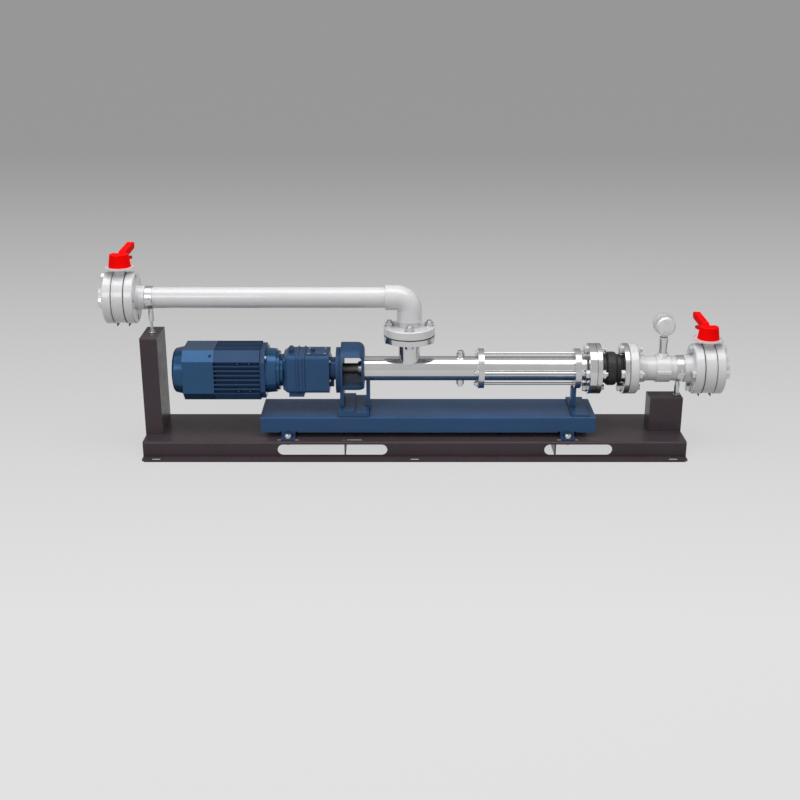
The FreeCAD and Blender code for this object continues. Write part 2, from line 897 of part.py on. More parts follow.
def shaft_bearings():
    """The motor's two bearings and the gearbox's output bearing."""
    fit = dim.motor_shaft_radius + dim.shaft_fit
    pieces = [
        bearing(motor_flange_end + 2, motor_line_z, fit, dim.motor_shaft_radius + 14, 15),
        bearing(cowl_end - 10, motor_line_z, fit, dim.motor_shaft_radius + 10, 14),
        bearing(
            gearbox_end - 20, dim.pump_line_z, dim.drive_radius + dim.shaft_fit,
            dim.output_bearing_radius, 15
        ),
    ]
    return node("shaft_bearings", group(pieces))


def gearbox_outline(offset=0):
    """The gearbox's rounded box section about the pump axis, less an offset all round."""
    front = offset - dim.gearbox_front
    rear = dim.gearbox_rear - offset
    low = offset - dim.gearbox_low
    high = dim.gearbox_high - offset
    corner = dim.gearbox_corner - offset
    return [
        (front + corner, low, corner), (rear - corner, low), (rear, low + corner, corner),
        (rear, high - corner),
        (rear - corner, high, corner), (front + corner, high), (front, high - corner, corner),
        (front, low + corner),
    ]


def gearbox_section(start, length, offset=0):
    """A length of the gearbox's section, or of the section less an offset."""
    return plate("YZ_Plane", (start + length / 2, 0, motor_line_z), gearbox_outline(offset), length)


def gearbox_housing():
    """The cast reducer housing with its ribs, lifting lug, lid, vent, foot block and output collar."""
    z = motor_line_z
    out_z = dim.pump_line_z
    cover_end = gearbox_start + dim.gearbox_cover
    top = z + dim.gearbox_high
    collar_reach = dim.gearbox_collar + 2
    pieces = [
        gearbox_section(cover_end, gearbox_end - cover_end),
        gearbox_section(gearbox_start + 42, 5, -3),
        gearbox_section(gearbox_start + 62, 5, -3),
        rod((gearbox_end - 2, 0, out_z), "X", dim.gearbox_collar_radius, collar_reach),
        rod((gearbox_start + 25, -6, top + 11), "Y", dim.lug_radius, 12),
        block((gearbox_start + 25 - dim.lug_radius, -6, top - 2), (dim.lug_radius * 2, 12, 13)),
        block((gearbox_start + 72, -34, top - 2), (63, 68, dim.gearbox_lid_rise + 2)),
        rod((gearbox_start + 90, 0, top), "Z", 6, dim.gearbox_lid_rise + 8),
        block(
            (gearbox_start + 17, -35, z - dim.gearbox_low - dim.gearbox_foot_drop),
            (46, 70, dim.gearbox_foot_drop + 2)
        ),
        block((gearbox_end - 2, -5, out_z - 57), (14, 10, 58 - dim.gearbox_collar_radius)),
    ]
    lug_hole = rod((gearbox_start + 25, -7, top + 11), "Y", dim.lug_radius / 2, 14)
    hollow = gearbox_section(cover_end - 1, gearbox_inner_end - cover_end + 1, dim.gearbox_wall)
    lay_line = (gearbox_inner_end - 1, lay_y, lay_z)
    pocket = rod(lay_line, "X", dim.layshaft_radius + dim.shaft_fit, dim.layshaft_seat + 2)
    seat = rod((gearbox_end - 22, 0, out_z), "X", dim.output_bearing_radius, 23)
    way_out = rod((gearbox_end, 0, out_z), "X", dim.drive_radius + 2, dim.gearbox_collar + 1)
    return node("gearbox_housing", cut(fuse(pieces), [lug_hole, hollow, pocket, seat, way_out]))


def gearbox_input_cover():
    """The input cover between motor and housing, tapering towards the motor."""
    z = motor_line_z
    cover_end = gearbox_start + dim.gearbox_cover
    slope = dim.gearbox_cover - 2
    pieces = [gearbox_section(gearbox_start + slope, 2)]
    body = DOC.addObject("PartDesign::Body", "cover_taper")
    pad = body.newObject("PartDesign::Pad", "pad")
    pad.Profile = outline(body, "YZ_Plane", gearbox_outline())
    bind(pad, "Length", slope)
    pad.Reversed = True
    pad.TaperAngle = -math.degrees(math.atan2(float(dim.cover_chamfer), float(slope)))
    pieces.append(place(body, (gearbox_start + slope, 0, z)))
    bore = rod((gearbox_start - 1, 0, z), "X", dim.motor_shaft_radius + 4, dim.gearbox_cover + 2)
    lay_line = (cover_end - dim.layshaft_seat, lay_y, lay_z)
    pocket = rod(lay_line, "X", dim.layshaft_radius + dim.shaft_fit, dim.layshaft_seat + 1)
    return node("gearbox_input_cover", cut(fuse(pieces), [bore, pocket]))


def casing_wall_start():
    """The X of the lantern's inner face at the pump end."""
    return dim.casing_start - dim.lantern_shoulder


def lantern_window_cutter():
    """The cutter of the lantern's front and rear windows, round-cornered at the top."""
    start = lantern_back + dim.lantern_flange + dim.lantern_face
    half = dim.lantern_window / 2
    corner = dim.lantern_window_corner
    high = dim.lantern_window_rise
    low = high - dim.lantern_window_height
    return plate("XZ_Plane", (start + half, 0, motor_line_z), [
        (-half, low), (half, low), (half, high - corner), (half - corner, high, corner),
        (corner - half, high), (-half, high - corner, corner),
    ], dim.lantern_radius * 3)


def lantern():
    """The bell housing between gearbox and pump, flat underneath, with a window on each side."""
    z = motor_line_z
    start = lantern_back
    body_start = start + dim.lantern_flange
    face_end = body_start + dim.lantern_face
    inner = dim.lantern_radius - dim.lantern_wall
    back_wall = casing_wall_start()
    shell = turned("X", (0, 0, z), [
        (start, 0), (face_end, 0), (face_end, inner), (back_wall - dim.lantern_chamfer, inner),
        (back_wall, inner - dim.lantern_chamfer), (back_wall, 0), (dim.casing_start, 0),
        (dim.casing_start, dim.lantern_radius - dim.lantern_edge),
        (dim.casing_start - dim.lantern_edge, dim.lantern_radius, dim.lantern_edge),
        (body_start, dim.lantern_radius), (body_start, dim.lantern_flange_radius),
        (start, dim.lantern_flange_radius),
    ])
    low = z - dim.lantern_floor_drop
    below = block((body_start - 0.001, -dim.lantern_radius - 1, low - dim.lantern_radius),
                  (dim.lantern_length, (dim.lantern_radius + 1) * 2, dim.lantern_radius))
    floor_half = inner - 6
    floor = block(
        (body_start, -floor_half, low), (back_wall - body_start, floor_half * 2, dim.lantern_floor)
    )
    flange = rod((start, 0, z), "X", dim.lantern_flange_radius, dim.lantern_flange)
    way_in = rod((start - 1, 0, dim.pump_line_z), "X", dim.gearbox_collar_radius - 6, face_end - start + 2)
    seal_seat = rod((back_wall - 1, 0, dim.pump_line_z), "X", dim.seal_radius, dim.lantern_shoulder + 2)
    closed = fuse([cut(shell, [below]), flange, floor])
    return node("lantern", cut(closed, [lantern_window_cutter(), way_in, seal_seat]))


def lantern_feet():
    """Two angle feet that carry the lantern and the casing's end on the base channel."""
    z = motor_line_z
    seam = lantern_back + 56
    left = lantern_back + 7
    right = dim.casing_start + 14
    floor = z - dim.lantern_floor_drop
    width = dim.base_depth - 4
    rooms = [
        rod((lantern_back, 0, z), "X", dim.lantern_flange_radius, dim.lantern_flange),
        rod((dim.casing_start, 0, dim.pump_line_z), "X", dim.casing_radius, dim.casing_length),
    ]
    left_sole = block((left, -width / 2, base_top), (seam - left, width, dim.left_foot_sole))
    left_web = block((left + 5, -dim.foot_web_width / 2, base_top),
                     (dim.foot_web, dim.foot_web_width, floor - base_top))
    right_sole = block((seam, -width / 2, base_top), (right - seam, width, dim.right_foot_sole))
    right_web = block((dim.casing_start + 5, -dim.right_web_width / 2, base_top),
                      (dim.foot_web, dim.right_web_width, z - base_top))
    feet = [cut(fuse([left_sole, left_web]), rooms), cut(fuse([right_sole, right_web]), rooms)]
    return node("lantern_feet", group(feet))


def shaft_seal():
    """The seal cartridge between lantern and suction casing."""
    start = casing_wall_start()
    nose = start - dim.seal_length / 2
    return node("shaft_seal", turned("X", (0, 0, dim.pump_line_z), [
        (nose, dim.drive_radius + dim.slip_fit), (dim.casing_start, dim.drive_radius + dim.slip_fit),
        (dim.casing_start, dim.seal_radius), (start, dim.seal_radius), (start, dim.seal_radius - 5),
        (nose, dim.seal_radius - 9),
    ]))


def bolt_holes(x, z, axis, length, radius):
    """Four hole cutters on the flange pitch circle."""
    holes = []
    for angle in QUARTERS:
        first, second = around(angle, dim.flange_pitch_radius)
        at = (x, first, z + second) if axis == "X" else (x + first, second, z)
        holes.append(rod(at, axis, radius, length))
    return holes


def suction_casing():
    """The suction casing tube with its upward branch, flange and drain bosses."""
    z = dim.pump_line_z
    inner = dim.casing_radius - dim.casing_wall
    tube = rod((dim.casing_start, 0, z), "X", dim.casing_radius, dim.casing_length)
    branch_top = dim.branch_flange_z
    branch = rod((dim.branch_x, 0, z), "Z", dim.branch_radius, branch_top - z)
    flange = rod(
        (dim.branch_x, 0, branch_top - dim.branch_flange_thick), "Z", dim.flange_radius,
        dim.branch_flange_thick
    )
    tools = [
        rod((dim.casing_start - 1, 0, z), "X", inner, dim.casing_length + 2),
        rod((dim.branch_x, 0, z), "Z", dim.branch_radius - dim.casing_wall, branch_top - z + 1),
        *bolt_holes(
            dim.branch_x, branch_top - dim.branch_flange_thick - 1, "Z", dim.branch_flange_thick + 2,
            dim.flange_hole_radius
        ),
    ]
    pieces = [tube, branch, flange]
    for side in (1, -1):
        low = z + (inner + 1) * side if side > 0 else z - dim.casing_radius - dim.port_height
        pieces.append(
            rod((dim.drain_port_x, 0, low), "Z", dim.port_radius, dim.port_height + dim.casing_wall - 1)
        )
    return node("suction_casing", cut(fuse(pieces), tools))


def drain_plugs():
    """The hexagon plugs in the casing's upper and lower bosses."""
    rise = dim.casing_radius + dim.port_height
    plugs = [
        hexagon(
            (dim.drain_port_x, 0, dim.pump_line_z + rise), "Z", dim.port_radius * 0.72, dim.plug_height
        ),
        hexagon(
            (dim.drain_port_x, 0, dim.pump_line_z - rise - dim.plug_height), "Z", dim.port_radius * 0.72,
            dim.plug_height
        ),
    ]
    return node("drain_plugs", group(plugs))


def stator_tube():
    """The steel tube of the stator."""
    tube = ring(
        "X", (stator_start, 0, dim.pump_line_z), dim.casing_radius, dim.casing_radius - dim.casing_wall,
        dim.stator_length
    )
    return node("stator_tube", tube)


def screw_sections(start, length, pitch, offset_of, shape_of):
    """Wires across a screw, turned evenly with the distance along X."""
    count = int(round(length / pitch * float(dim.sections_per_turn)))
    wires = []
    for index in range(count + 1):
        along = length * index / count
        angle = 360.0 * along / pitch
        wire = shape_of()
        wire.rotate(FreeCAD.Vector(0, 0, 0), FreeCAD.Vector(1, 0, 0), angle)
        wire.translate(FreeCAD.Vector(start + along, 0, 0) + offset_of)
        wires.append(wire)
    return wires


def cavity_wire():
    """The stator cavity's section: two half circles joined by straight sides."""
    radius = float(dim.rotor_radius + dim.running_gap)
    reach = float(dim.eccentricity * 2)

    def point(y, z):
        return FreeCAD.Vector(0, y, z)

    right = Part.Arc(point(reach, -radius), point(reach + radius, 0), point(reach, radius)).toShape()
    top = Part.LineSegment(point(reach, radius), point(-reach, radius)).toShape()
    left = Part.Arc(point(-reach, radius), point(-reach - radius, 0), point(-reach, -radius)).toShape()
    bottom = Part.LineSegment(point(-reach, -radius), point(reach, -radius)).toShape()
    return Part.Wire([right, top, left, bottom])


def rotor_wire():
    """The rotor's round section, standing off the rotor's own axis by the eccentricity."""
    centre = FreeCAD.Vector(0, float(dim.eccentricity), 0)
    circle = Part.Circle(centre, FreeCAD.Vector(1, 0, 0), float(dim.rotor_radius))
    return Part.Wire([circle.toShape()])


def stator_rubber():
    """The elastomer stator: a tube with a double-start screw cavity of twice the rotor's pitch."""
    start = float(stator_start)
    length = float(dim.stator_length)
    axis = FreeCAD.Vector(0, 0, float(dim.pump_line_z))
    wires = screw_sections(start, length, float(dim.rotor_pitch) * 2, axis, cavity_wire)
    cavity = Part.makeLoft(wires, True, False)
    outer = float(dim.casing_radius - dim.casing_wall)
    bar = Part.makeCylinder(outer, length, axis + FreeCAD.Vector(start, 0, 0), FreeCAD.Vector(1, 0, 0))
    item = DOC.addObject("Part::Feature", "stator_rubber")
    item.Shape = bar.cut(cavity)
    return node("stator_rubber", item)


def pump_rotor():
    """The single-start screw rotor with its round joint head, on the eccentric axis."""
    start = float(stator_start)
    length = float(dim.stator_length)
    axis = FreeCAD.Vector(0, float(dim.eccentricity), float(dim.pump_line_z))
    wires = screw_sections(start, length, float(dim.rotor_pitch), axis, rotor_wire)
    screw = Part.makeLoft(wires, True, False)
    along = FreeCAD.Vector(1, 0, 0)
    head_start = start - float(dim.rotor_head_length)
    head_length = float(dim.rotor_head_length)
    head = Part.makeCylinder(float(dim.rotor_head_radius), head_length, axis + along * head_start, along)
    socket_depth = float(dim.joint_eye_length) + 4
    socket_radius = float(dim.joint_eye_radius + dim.joint_room)
    socket = Part.makeCylinder(socket_radius, socket_depth, axis + along * head_start, along)
    item = DOC.addObject("Part::Feature", "pump_rotor")
    item.Shape = screw.fuse(head).cut(socket)
    return node("pump_rotor", item)


def stator_end_plates():
    """The two round clamp plates at the stator's ends."""
    z = dim.pump_line_z
    plates = []
    for start in (casing_end, stator_end):
        disc = ring(
            "X", (start, 0, z), dim.end_plate_radius, dim.casing_radius - dim.casing_wall,
            dim.end_plate_thick
        )
        holes = []
        for angle in QUARTERS:
            y, rise = around(angle, dim.tie_pitch_radius)
            holes.append(
                rod(
                    (start - 1, y, z + rise), "X", dim.tie_rod_radius + dim.slip_fit,
                    dim.end_plate_thick + 2
                )
            )
        plates.append(cut(disc, holes))
    return node("stator_end_plates", group(plates))


def tie_rods():
    """Four tie rods with a nut on each end, clamping the stator between its plates."""
    z = dim.pump_line_z
    rods = []
    reach = dim.tie_nut_height + 3
    for angle in QUARTERS:
        y, rise = around(angle, dim.tie_pitch_radius)
        shank = rod(
            (casing_end - reach, y, z + rise), "X", dim.tie_rod_radius,
            outlet_plate_end - casing_end + reach * 2
        )
        inlet_nut = hexagon(
            (casing_end - dim.tie_nut_height, y, z + rise), "X", dim.tie_nut_radius, dim.tie_nut_height
        )
        outlet_nut = hexagon((outlet_plate_end, y, z + rise), "X", dim.tie_nut_radius, dim.tie_nut_height)
        rods.append(fuse([shank, inlet_nut, outlet_nut]))
    return node("tie_rods", group(rods))


def discharge_nozzle():
    """The discharge nozzle: a short tube swelling into a drilled flange."""
    z = dim.pump_line_z
    inner = dim.casing_radius - dim.casing_wall
    shell = turned("X", (0, 0, z), [
        (outlet_plate_end, inner), (steel_face, inner), (steel_face, dim.flange_radius - 2),
        (steel_face - 2, dim.flange_radius), (nozzle_end + 2, dim.flange_radius),
        (nozzle_end, dim.flange_radius - 2),
        (nozzle_end, dim.casing_radius + 4), (nozzle_end - 4, dim.casing_radius),
        (outlet_plate_end, dim.casing_radius),
    ])
    holes = bolt_holes(nozzle_end - 1, z, "X", dim.steel_flange + 2, dim.flange_hole_radius)
    return node("discharge_nozzle", cut(shell, holes))


def support_leg():
    """The sheet leg and sole that carry the outlet plate on the base channel."""
    start = stator_end - 5
    sole = block(
        (start - 4, -base_wall_y + 4, base_top), (dim.leg_sole_length, dim.base_depth - 8, dim.leg_sole)
    )
    web = block(
        (start, -dim.leg_width / 2, base_top), (dim.leg_web, dim.leg_width, dim.pump_line_z - base_top)
    )
    room = rod((start - 1, 0, dim.pump_line_z), "X", dim.end_plate_radius, dim.leg_sole_length)
    return node("support_leg", cut(fuse([sole, web]), [room]))


def bellows():
    """The rubber expansion bellows between the pump and the discharge pipe."""
    z = dim.pump_line_z
    first_crest = bellows_start + dim.bolt_head_height + dim.bolt_proud + dim.bellows_round
    last_crest = bellows_start + dim.bellows_length * 0.62
    shoulder = dim.bellows_neck + 4
    return node("bellows", turned("X", (0, 0, z), [
        (bellows_start, pipe_bore), (bellows_end, pipe_bore), (bellows_end, dim.bellows_neck),
        (bellows_end - 8, shoulder), (last_crest + dim.bellows_round, shoulder),
        (last_crest, dim.bellows_radius, dim.bellows_round * 1.4), (first_crest, dim.bellows_radius),
        (first_crest - dim.bellows_round, shoulder, dim.bellows_round * 1.4), (bellows_start, shoulder),
    ]))


def bellows_flanges():
    """The two loose steel backing flanges of the bellows."""
    z = dim.pump_line_z
    flanges = []
    for start in (steel_face, bellows_end):
        disc = ring("X", (start, 0, z), dim.flange_radius, pipe_bore, dim.bellows_flange)
        holes = bolt_holes(start - 1, z, "X", dim.bellows_flange + 2, dim.flange_hole_radius)
        flanges.append(cut(disc, holes))
    return node("bellows_flanges", group(flanges))


def pipe_flange(face, z, away, pipe):
    """A plastic stub flange about an X line: its sealing face, its pipe's side and its pipe's radius."""
    thick = dim.flange_thick
    edge = dim.flange_edge
    rim = dim.flange_radius
    collar = pipe + dim.flange_collar_wall
    end = thick + dim.flange_collar
    points = [
        (0, pipe_bore), (4, pipe_bore), (4, pipe), (end, pipe), (end, collar - 2), (thick + 2, collar),
        (thick, collar + 2), (thick, rim - edge), (thick - edge, rim), (edge, rim), (0, rim - edge),
    ]
    disc = turned("X", (face, 0, z), [(along * away, radius) for along, radius in points])
    low = face if away > 0 else face - thick
    return cut(disc, bolt_holes(low - 1, z, "X", thick + 2, dim.flange_hole_radius))


def valve_span():
    """The distance over a valve with its two gaskets, between the flange faces."""
    return dim.valve_body_length + dim.gasket_thick * 2


def left_inner_face():
    """The sealing face of the suction valve's inner flange."""
    return dim.left_valve_face - dim.flange_thick


def right_inner_face():
    """The sealing face of the discharge valve's inner flange."""
    return dim.right_valve_face + dim.flange_thick


def inner_pipe_flanges():
    """The stub flanges on the valves' inner sides, at the elbow's foot and after the bellows."""
    upright_z = dim.branch_flange_z + dim.gasket_thick
    disc = turned("Z", (dim.branch_x, 0, upright_z), [
        (0, pipe_bore), (4, pipe_bore), (4, dim.pipe_radius), (dim.flange_thick, dim.pipe_radius),
        (dim.flange_thick, dim.flange_radius - dim.flange_edge),
        (dim.flange_thick - dim.flange_edge, dim.flange_radius),
        (dim.flange_edge, dim.flange_radius), (0, dim.flange_radius - dim.flange_edge),
    ])
    upright = cut(
        disc, bolt_holes(dim.branch_x, upright_z - 1, "Z", dim.flange_thick + 2, dim.flange_hole_radius)
    )
    flanges = [
        pipe_flange(left_inner_face(), dim.suction_line_z, 1, dim.pipe_radius),
        pipe_flange(right_inner_face(), dim.pump_line_z, -1, dim.discharge_pipe_radius),
        pipe_flange(second_bellows_face + dim.gasket_thick, dim.pump_line_z, 1, dim.discharge_pipe_radius),
        upright,
    ]
    return node("inner_pipe_flanges", group(flanges))


def outer_stub(face, z, away):
    """An open outer stub flange with its short pipe end."""
    far = dim.flange_thick + dim.stub_length
    points = [
        (0, pipe_bore), (far, pipe_bore), (far, dim.pipe_radius), (dim.flange_thick + 3, dim.pipe_radius),
        (dim.flange_thick, dim.pipe_radius + dim.flange_collar_wall + 2),
        (dim.flange_thick, dim.flange_radius - dim.flange_edge),
        (dim.flange_thick - dim.flange_edge, dim.flange_radius), (dim.flange_edge, dim.flange_radius),
        (0, dim.flange_radius - dim.flange_edge),
    ]
    disc = turned("X", (face, 0, z), [(along * away, radius) for along, radius in points])
    low = face if away > 0 else face - dim.flange_thick
    return cut(disc, bolt_holes(low - 1, z, "X", dim.flange_thick + 2, dim.flange_hole_radius))


def outer_pipe_flanges():
    """The set's two open pipe ends."""
    stubs = [
        outer_stub(left_inner_face() - valve_span(), dim.suction_line_z, -1),
        outer_stub(right_inner_face() + valve_span(), dim.pump_line_z, 1),
    ]
    return node("outer_pipe_flanges", group(stubs))


def gasket(x, y, z, axis, tab):
    """A flat ring gasket with holes for the bolts and an optional pull tab pointing down."""
    disc = ring(axis, (x, y, z), dim.flange_radius - 1.5, pipe_bore, dim.gasket_thick)
    holes = bolt_holes(
        x if axis == "Z" else x - 1, z - 1 if axis == "Z" else z, axis, dim.gasket_thick + 2,
        dim.flange_hole_radius
    )
    if not tab:
        return cut(disc, holes)
    low = z - dim.flange_radius - dim.gasket_tab
    flap = block(
        (x, -dim.gasket_tab_width / 2, low), (dim.gasket_thick, dim.gasket_tab_width, dim.gasket_tab + 8)
    )
    return cut(fuse([disc, flap]), holes)


def gaskets():
    """The flat gaskets of the two valves, the bellows and the suction branch."""
    left = left_inner_face()
    right = right_inner_face()
    span = dim.valve_body_length + dim.gasket_thick
    pieces = [
        gasket(left - dim.gasket_thick, 0, dim.suction_line_z, "X", True),
        gasket(left - dim.gasket_thick - span, 0, dim.suction_line_z, "X", True),
        gasket(right, 0, dim.pump_line_z, "X", True),
        gasket(right + span, 0, dim.pump_line_z, "X", True),
        gasket(second_bellows_face, 0, dim.pump_line_z, "X", False),
        gasket(dim.branch_x, 0, dim.branch_flange_z, "Z", False),
    ]
    return node("flange_gaskets", group(pieces))


def suction_pipes():
    """The upper pipe run from the suction valve to the elbow, and the short upright pipe below it."""
    start = dim.left_valve_face - dim.flange_thick + 4
    end = dim.branch_x - dim.elbow_reach + dim.elbow_socket
    low = dim.branch_flange_z + dim.gasket_thick + 4
    high = dim.suction_line_z - dim.elbow_reach + dim.elbow_socket
    level = ring("X", (start, 0, dim.suction_line_z), dim.pipe_radius, pipe_bore, end - start)
    upright = ring("Z", (dim.branch_x, 0, low), dim.pipe_radius, pipe_bore, high - low)
    return node("suction_pipes", group([level, upright]))


def suction_elbow():
    """The plain ninety-degree elbow with two thickened sockets."""
    z = dim.suction_line_z
    x = dim.branch_x
    outer = dim.elbow_socket_radius
    end_x = x - dim.elbow_reach
    end_z = z - dim.elbow_reach
    bend = outer + 1.5
    corner = DOC.addObject("Part::Torus", "bend")
    bind(corner, "Radius1", bend)
    bind(corner, "Radius2", outer)
    corner.Angle3 = 90
    place(corner, (x - bend, 0, z - bend), FreeCAD.Rotation(FreeCAD.Vector(1, 0, 0), 90))
    hollow = DOC.addObject("Part::Torus", "bend_bore")
    bind(hollow, "Radius1", bend)
    bind(hollow, "Radius2", pipe_bore)
    hollow.Angle3 = 90
    place(hollow, (x - bend, 0, z - bend), FreeCAD.Rotation(FreeCAD.Vector(1, 0, 0), 90))
    level = rod((end_x, 0, z), "X", outer, dim.elbow_reach - bend)
    upright = rod((x, 0, end_z), "Z", outer, dim.elbow_reach - bend)
    tools = [
        hollow,
        rod((end_x - 1, 0, z), "X", pipe_bore, dim.elbow_reach - bend + 1),
        rod((x, 0, end_z - 1), "Z", pipe_bore, dim.elbow_reach - bend + 1),
        rod((end_x - 1, 0, z), "X", dim.pipe_radius, dim.elbow_socket + 1),
        rod((x, 0, end_z - 1), "Z", dim.pipe_radius, dim.elbow_socket + 1),
    ]
    return node("suction_elbow", cut(fuse([corner, level, upright]), tools))


def discharge_pipe():
    """The pipe from the bellows' stub flange to the discharge valve."""
    start = second_bellows_face + dim.gasket_thick + 4
    end = right_inner_face() - 4
    bore = dim.discharge_pipe_radius - dim.pipe_wall
    pipe = ring("X", (start, 0, dim.pump_line_z), dim.discharge_pipe_radius, bore, end - start)
    return node("discharge_pipe", pipe)


def through_bolt(x, y, z, axis, grip):
    """A hexagon bolt and nut clamping a stack of flanges, from the stack's low face."""
    extra = dim.bolt_head_height + dim.bolt_proud
    if axis == "X":
        shank_at = (x, y, z)
        head_at = (x - dim.bolt_head_height, y, z)
        nut_at = (x + grip, y, z)
    else:
        shank_at = (x, y, z)
        head_at = (x, y, z - dim.bolt_head_height)
        nut_at = (x, y, z + grip)
    pieces = [
        rod(shank_at, axis, dim.bolt_radius, grip + extra),
        hexagon(head_at, axis, dim.bolt_head_radius, dim.bolt_head_height),
        hexagon(nut_at, axis, dim.bolt_head_radius, dim.bolt_head_height),
    ]
    return fuse(pieces)


def tap_bolt(x, y, z, side):
    """A hexagon bolt through a stub flange into a blind tapped hole of a valve body."""
    reach = dim.flange_thick + dim.gasket_thick + dim.valve_tap_depth - 1
    if side > 0:
        return fuse([
            rod((x - reach, y, z), "X", dim.bolt_radius, reach),
            hexagon((x, y, z), "X", dim.bolt_head_radius, dim.bolt_head_height)
        ])
    head_at = (x - dim.bolt_head_height, y, z)
    return fuse([
        rod((x, y, z), "X", dim.bolt_radius, reach),
        hexagon(head_at, "X", dim.bolt_head_radius, dim.bolt_head_height)
    ])


def flange_bolts():
    """The bolt sets of the branch, the bellows and the valves."""
    bolts = []
    branch_low = dim.branch_flange_z - dim.branch_flange_thick
    branch_grip = dim.branch_flange_thick + dim.gasket_thick + dim.flange_thick
    second_grip = dim.bellows_flange + dim.gasket_thick + dim.flange_thick
    for angle in QUARTERS:
        first, second = around(angle, dim.flange_pitch_radius)
        z = dim.pump_line_z + second
        bolts.append(through_bolt(dim.branch_x + first, second, branch_low, "Z", branch_grip))
        bolts.append(through_bolt(nozzle_end, first, z, "X", dim.steel_flange + dim.bellows_flange))
        bolts.append(through_bolt(bellows_end, first, z, "X", second_grip))
    for angle in QUARTERS:
        first, second = around(angle, dim.flange_pitch_radius)
        left_outer = left_inner_face() - valve_span() - dim.flange_thick
        right_outer = right_inner_face() + valve_span() + dim.flange_thick
        bolts.append(tap_bolt(left_outer, first, dim.suction_line_z + second, -1))
        bolts.append(tap_bolt(right_outer, first, dim.pump_line_z + second, 1))
        bolts.append(tap_bolt(dim.right_valve_face, first, dim.pump_line_z + second, -1))
    return node("flange_bolts", group(bolts))


VALVE_REACH = dim.flange_thick + dim.gasket_thick + dim.valve_body_length / 2
VALVES = {
    "suction": (dim.left_valve_face - VALVE_REACH, dim.suction_line_z),
    "discharge": (dim.right_valve_face + VALVE_REACH, dim.pump_line_z),
}


def valve_body(name):
    """The drum-shaped valve body with its tapped holes and the neck up to the index plate."""
    x, z = VALVES[name]
    start = x - dim.valve_body_length / 2
    drum = rod((start, 0, z), "X", dim.valve_body_radius, dim.valve_body_length)
    neck_low = dim.valve_body_radius - 6
    neck = block(
        (start + 2, -dim.valve_neck_width / 2, z + neck_low),
        (dim.valve_body_length - 4, dim.valve_neck_width, dim.valve_plate_rise - neck_low)
    )
    tools = [rod((start - 1, 0, z), "X", dim.valve_liner_radius, dim.valve_body_length + 2)]
    for low in (start - 1, start + dim.valve_body_length - dim.valve_tap_depth):
        tools.extend(bolt_holes(low, z, "X", dim.valve_tap_depth + 1, dim.bolt_radius))
    tools.append(rod((x, 0, z), "Z", dim.valve_stem_radius + dim.shaft_fit, dim.valve_plate_rise + 1))
    return node(f"{name}_valve_body", cut(fuse([drum, neck]), tools))


def valve_seats():
    """The rubber seat liners of both valves."""
    seats = []
    for x, z in VALVES.values():
        start = x - dim.valve_body_length / 2
        liner = ring(
            "X", (start, 0, z), dim.valve_liner_radius, dim.valve_bore_radius, dim.valve_body_length
        )
        hole = rod((x, 0, z), "Z", dim.valve_stem_radius + dim.shaft_fit, dim.valve_liner_radius + 2)
        pit = rod(
            (x, 0, z - dim.valve_liner_radius + 3), "Z", dim.valve_stem_radius + dim.shaft_fit,
            dim.valve_liner_radius
        )
        seats.append(cut(liner, [hole, pit]))
    return node("valve_seats", group(seats))


def index_plates():
    """The round notched index plates on the valve necks, with two stop ears each."""
    plates = []
    for x, z in VALVES.values():
        low = z + dim.valve_plate_rise
        disc = rod((x, 0, low), "Z", dim.valve_plate_radius, dim.valve_plate_thick)
        ears = []
        for angle in (45, 135, 225, 315):
            turn = FreeCAD.Rotation(FreeCAD.Vector(0, 0, 1), angle)
            ear = DOC.addObject("Part::Box", "ear")
            bind(ear, "Length", dim.valve_plate_radius + dim.valve_ear)
            bind(ear, "Width", 12)
            bind(ear, "Height", dim.valve_plate_thick)
            shift = turn.multVec(FreeCAD.Vector(0, -6, 0))
            place(ear, (x + shift.x, shift.y, low), turn)
            ears.append(ear)
        hole = rod((x, 0, low - 1), "Z", dim.valve_stem_radius + dim.shaft_fit, dim.valve_plate_thick + 2)
        plates.append(cut(fuse([disc, *ears]), [hole]))
    return node("index_plates", group(plates))


def valve_disc(name):
    """The butterfly disc on its stem, closed across the bore."""
    x, z = VALVES[name]
    radius = dim.valve_bore_radius - dim.running_gap
    rim = 1.5
    half = dim.disc_thick / 2
    disc = turned("X", (x, 0, z), [
        (-half, 0), (half, 0), (half, radius * 0.4), (rim, radius), (-rim, radius), (-half, radius * 0.4),
    ])
    low = z - dim.valve_liner_radius + 4
    top = z + dim.valve_plate_rise + dim.valve_plate_thick + dim.hub_rise / 2
    stem = rod((x, 0, low), "Z", dim.valve_stem_radius, top - low)
    return node(f"{name}_valve_disc", fuse([disc, stem]))


def lever_under(z):
    """The height of the lever's underside beside the hub, for a pipe line height."""
    return z + dim.valve_plate_rise + dim.valve_plate_thick + dim.slip_fit + dim.hub_rise - dim.lever_height - 4


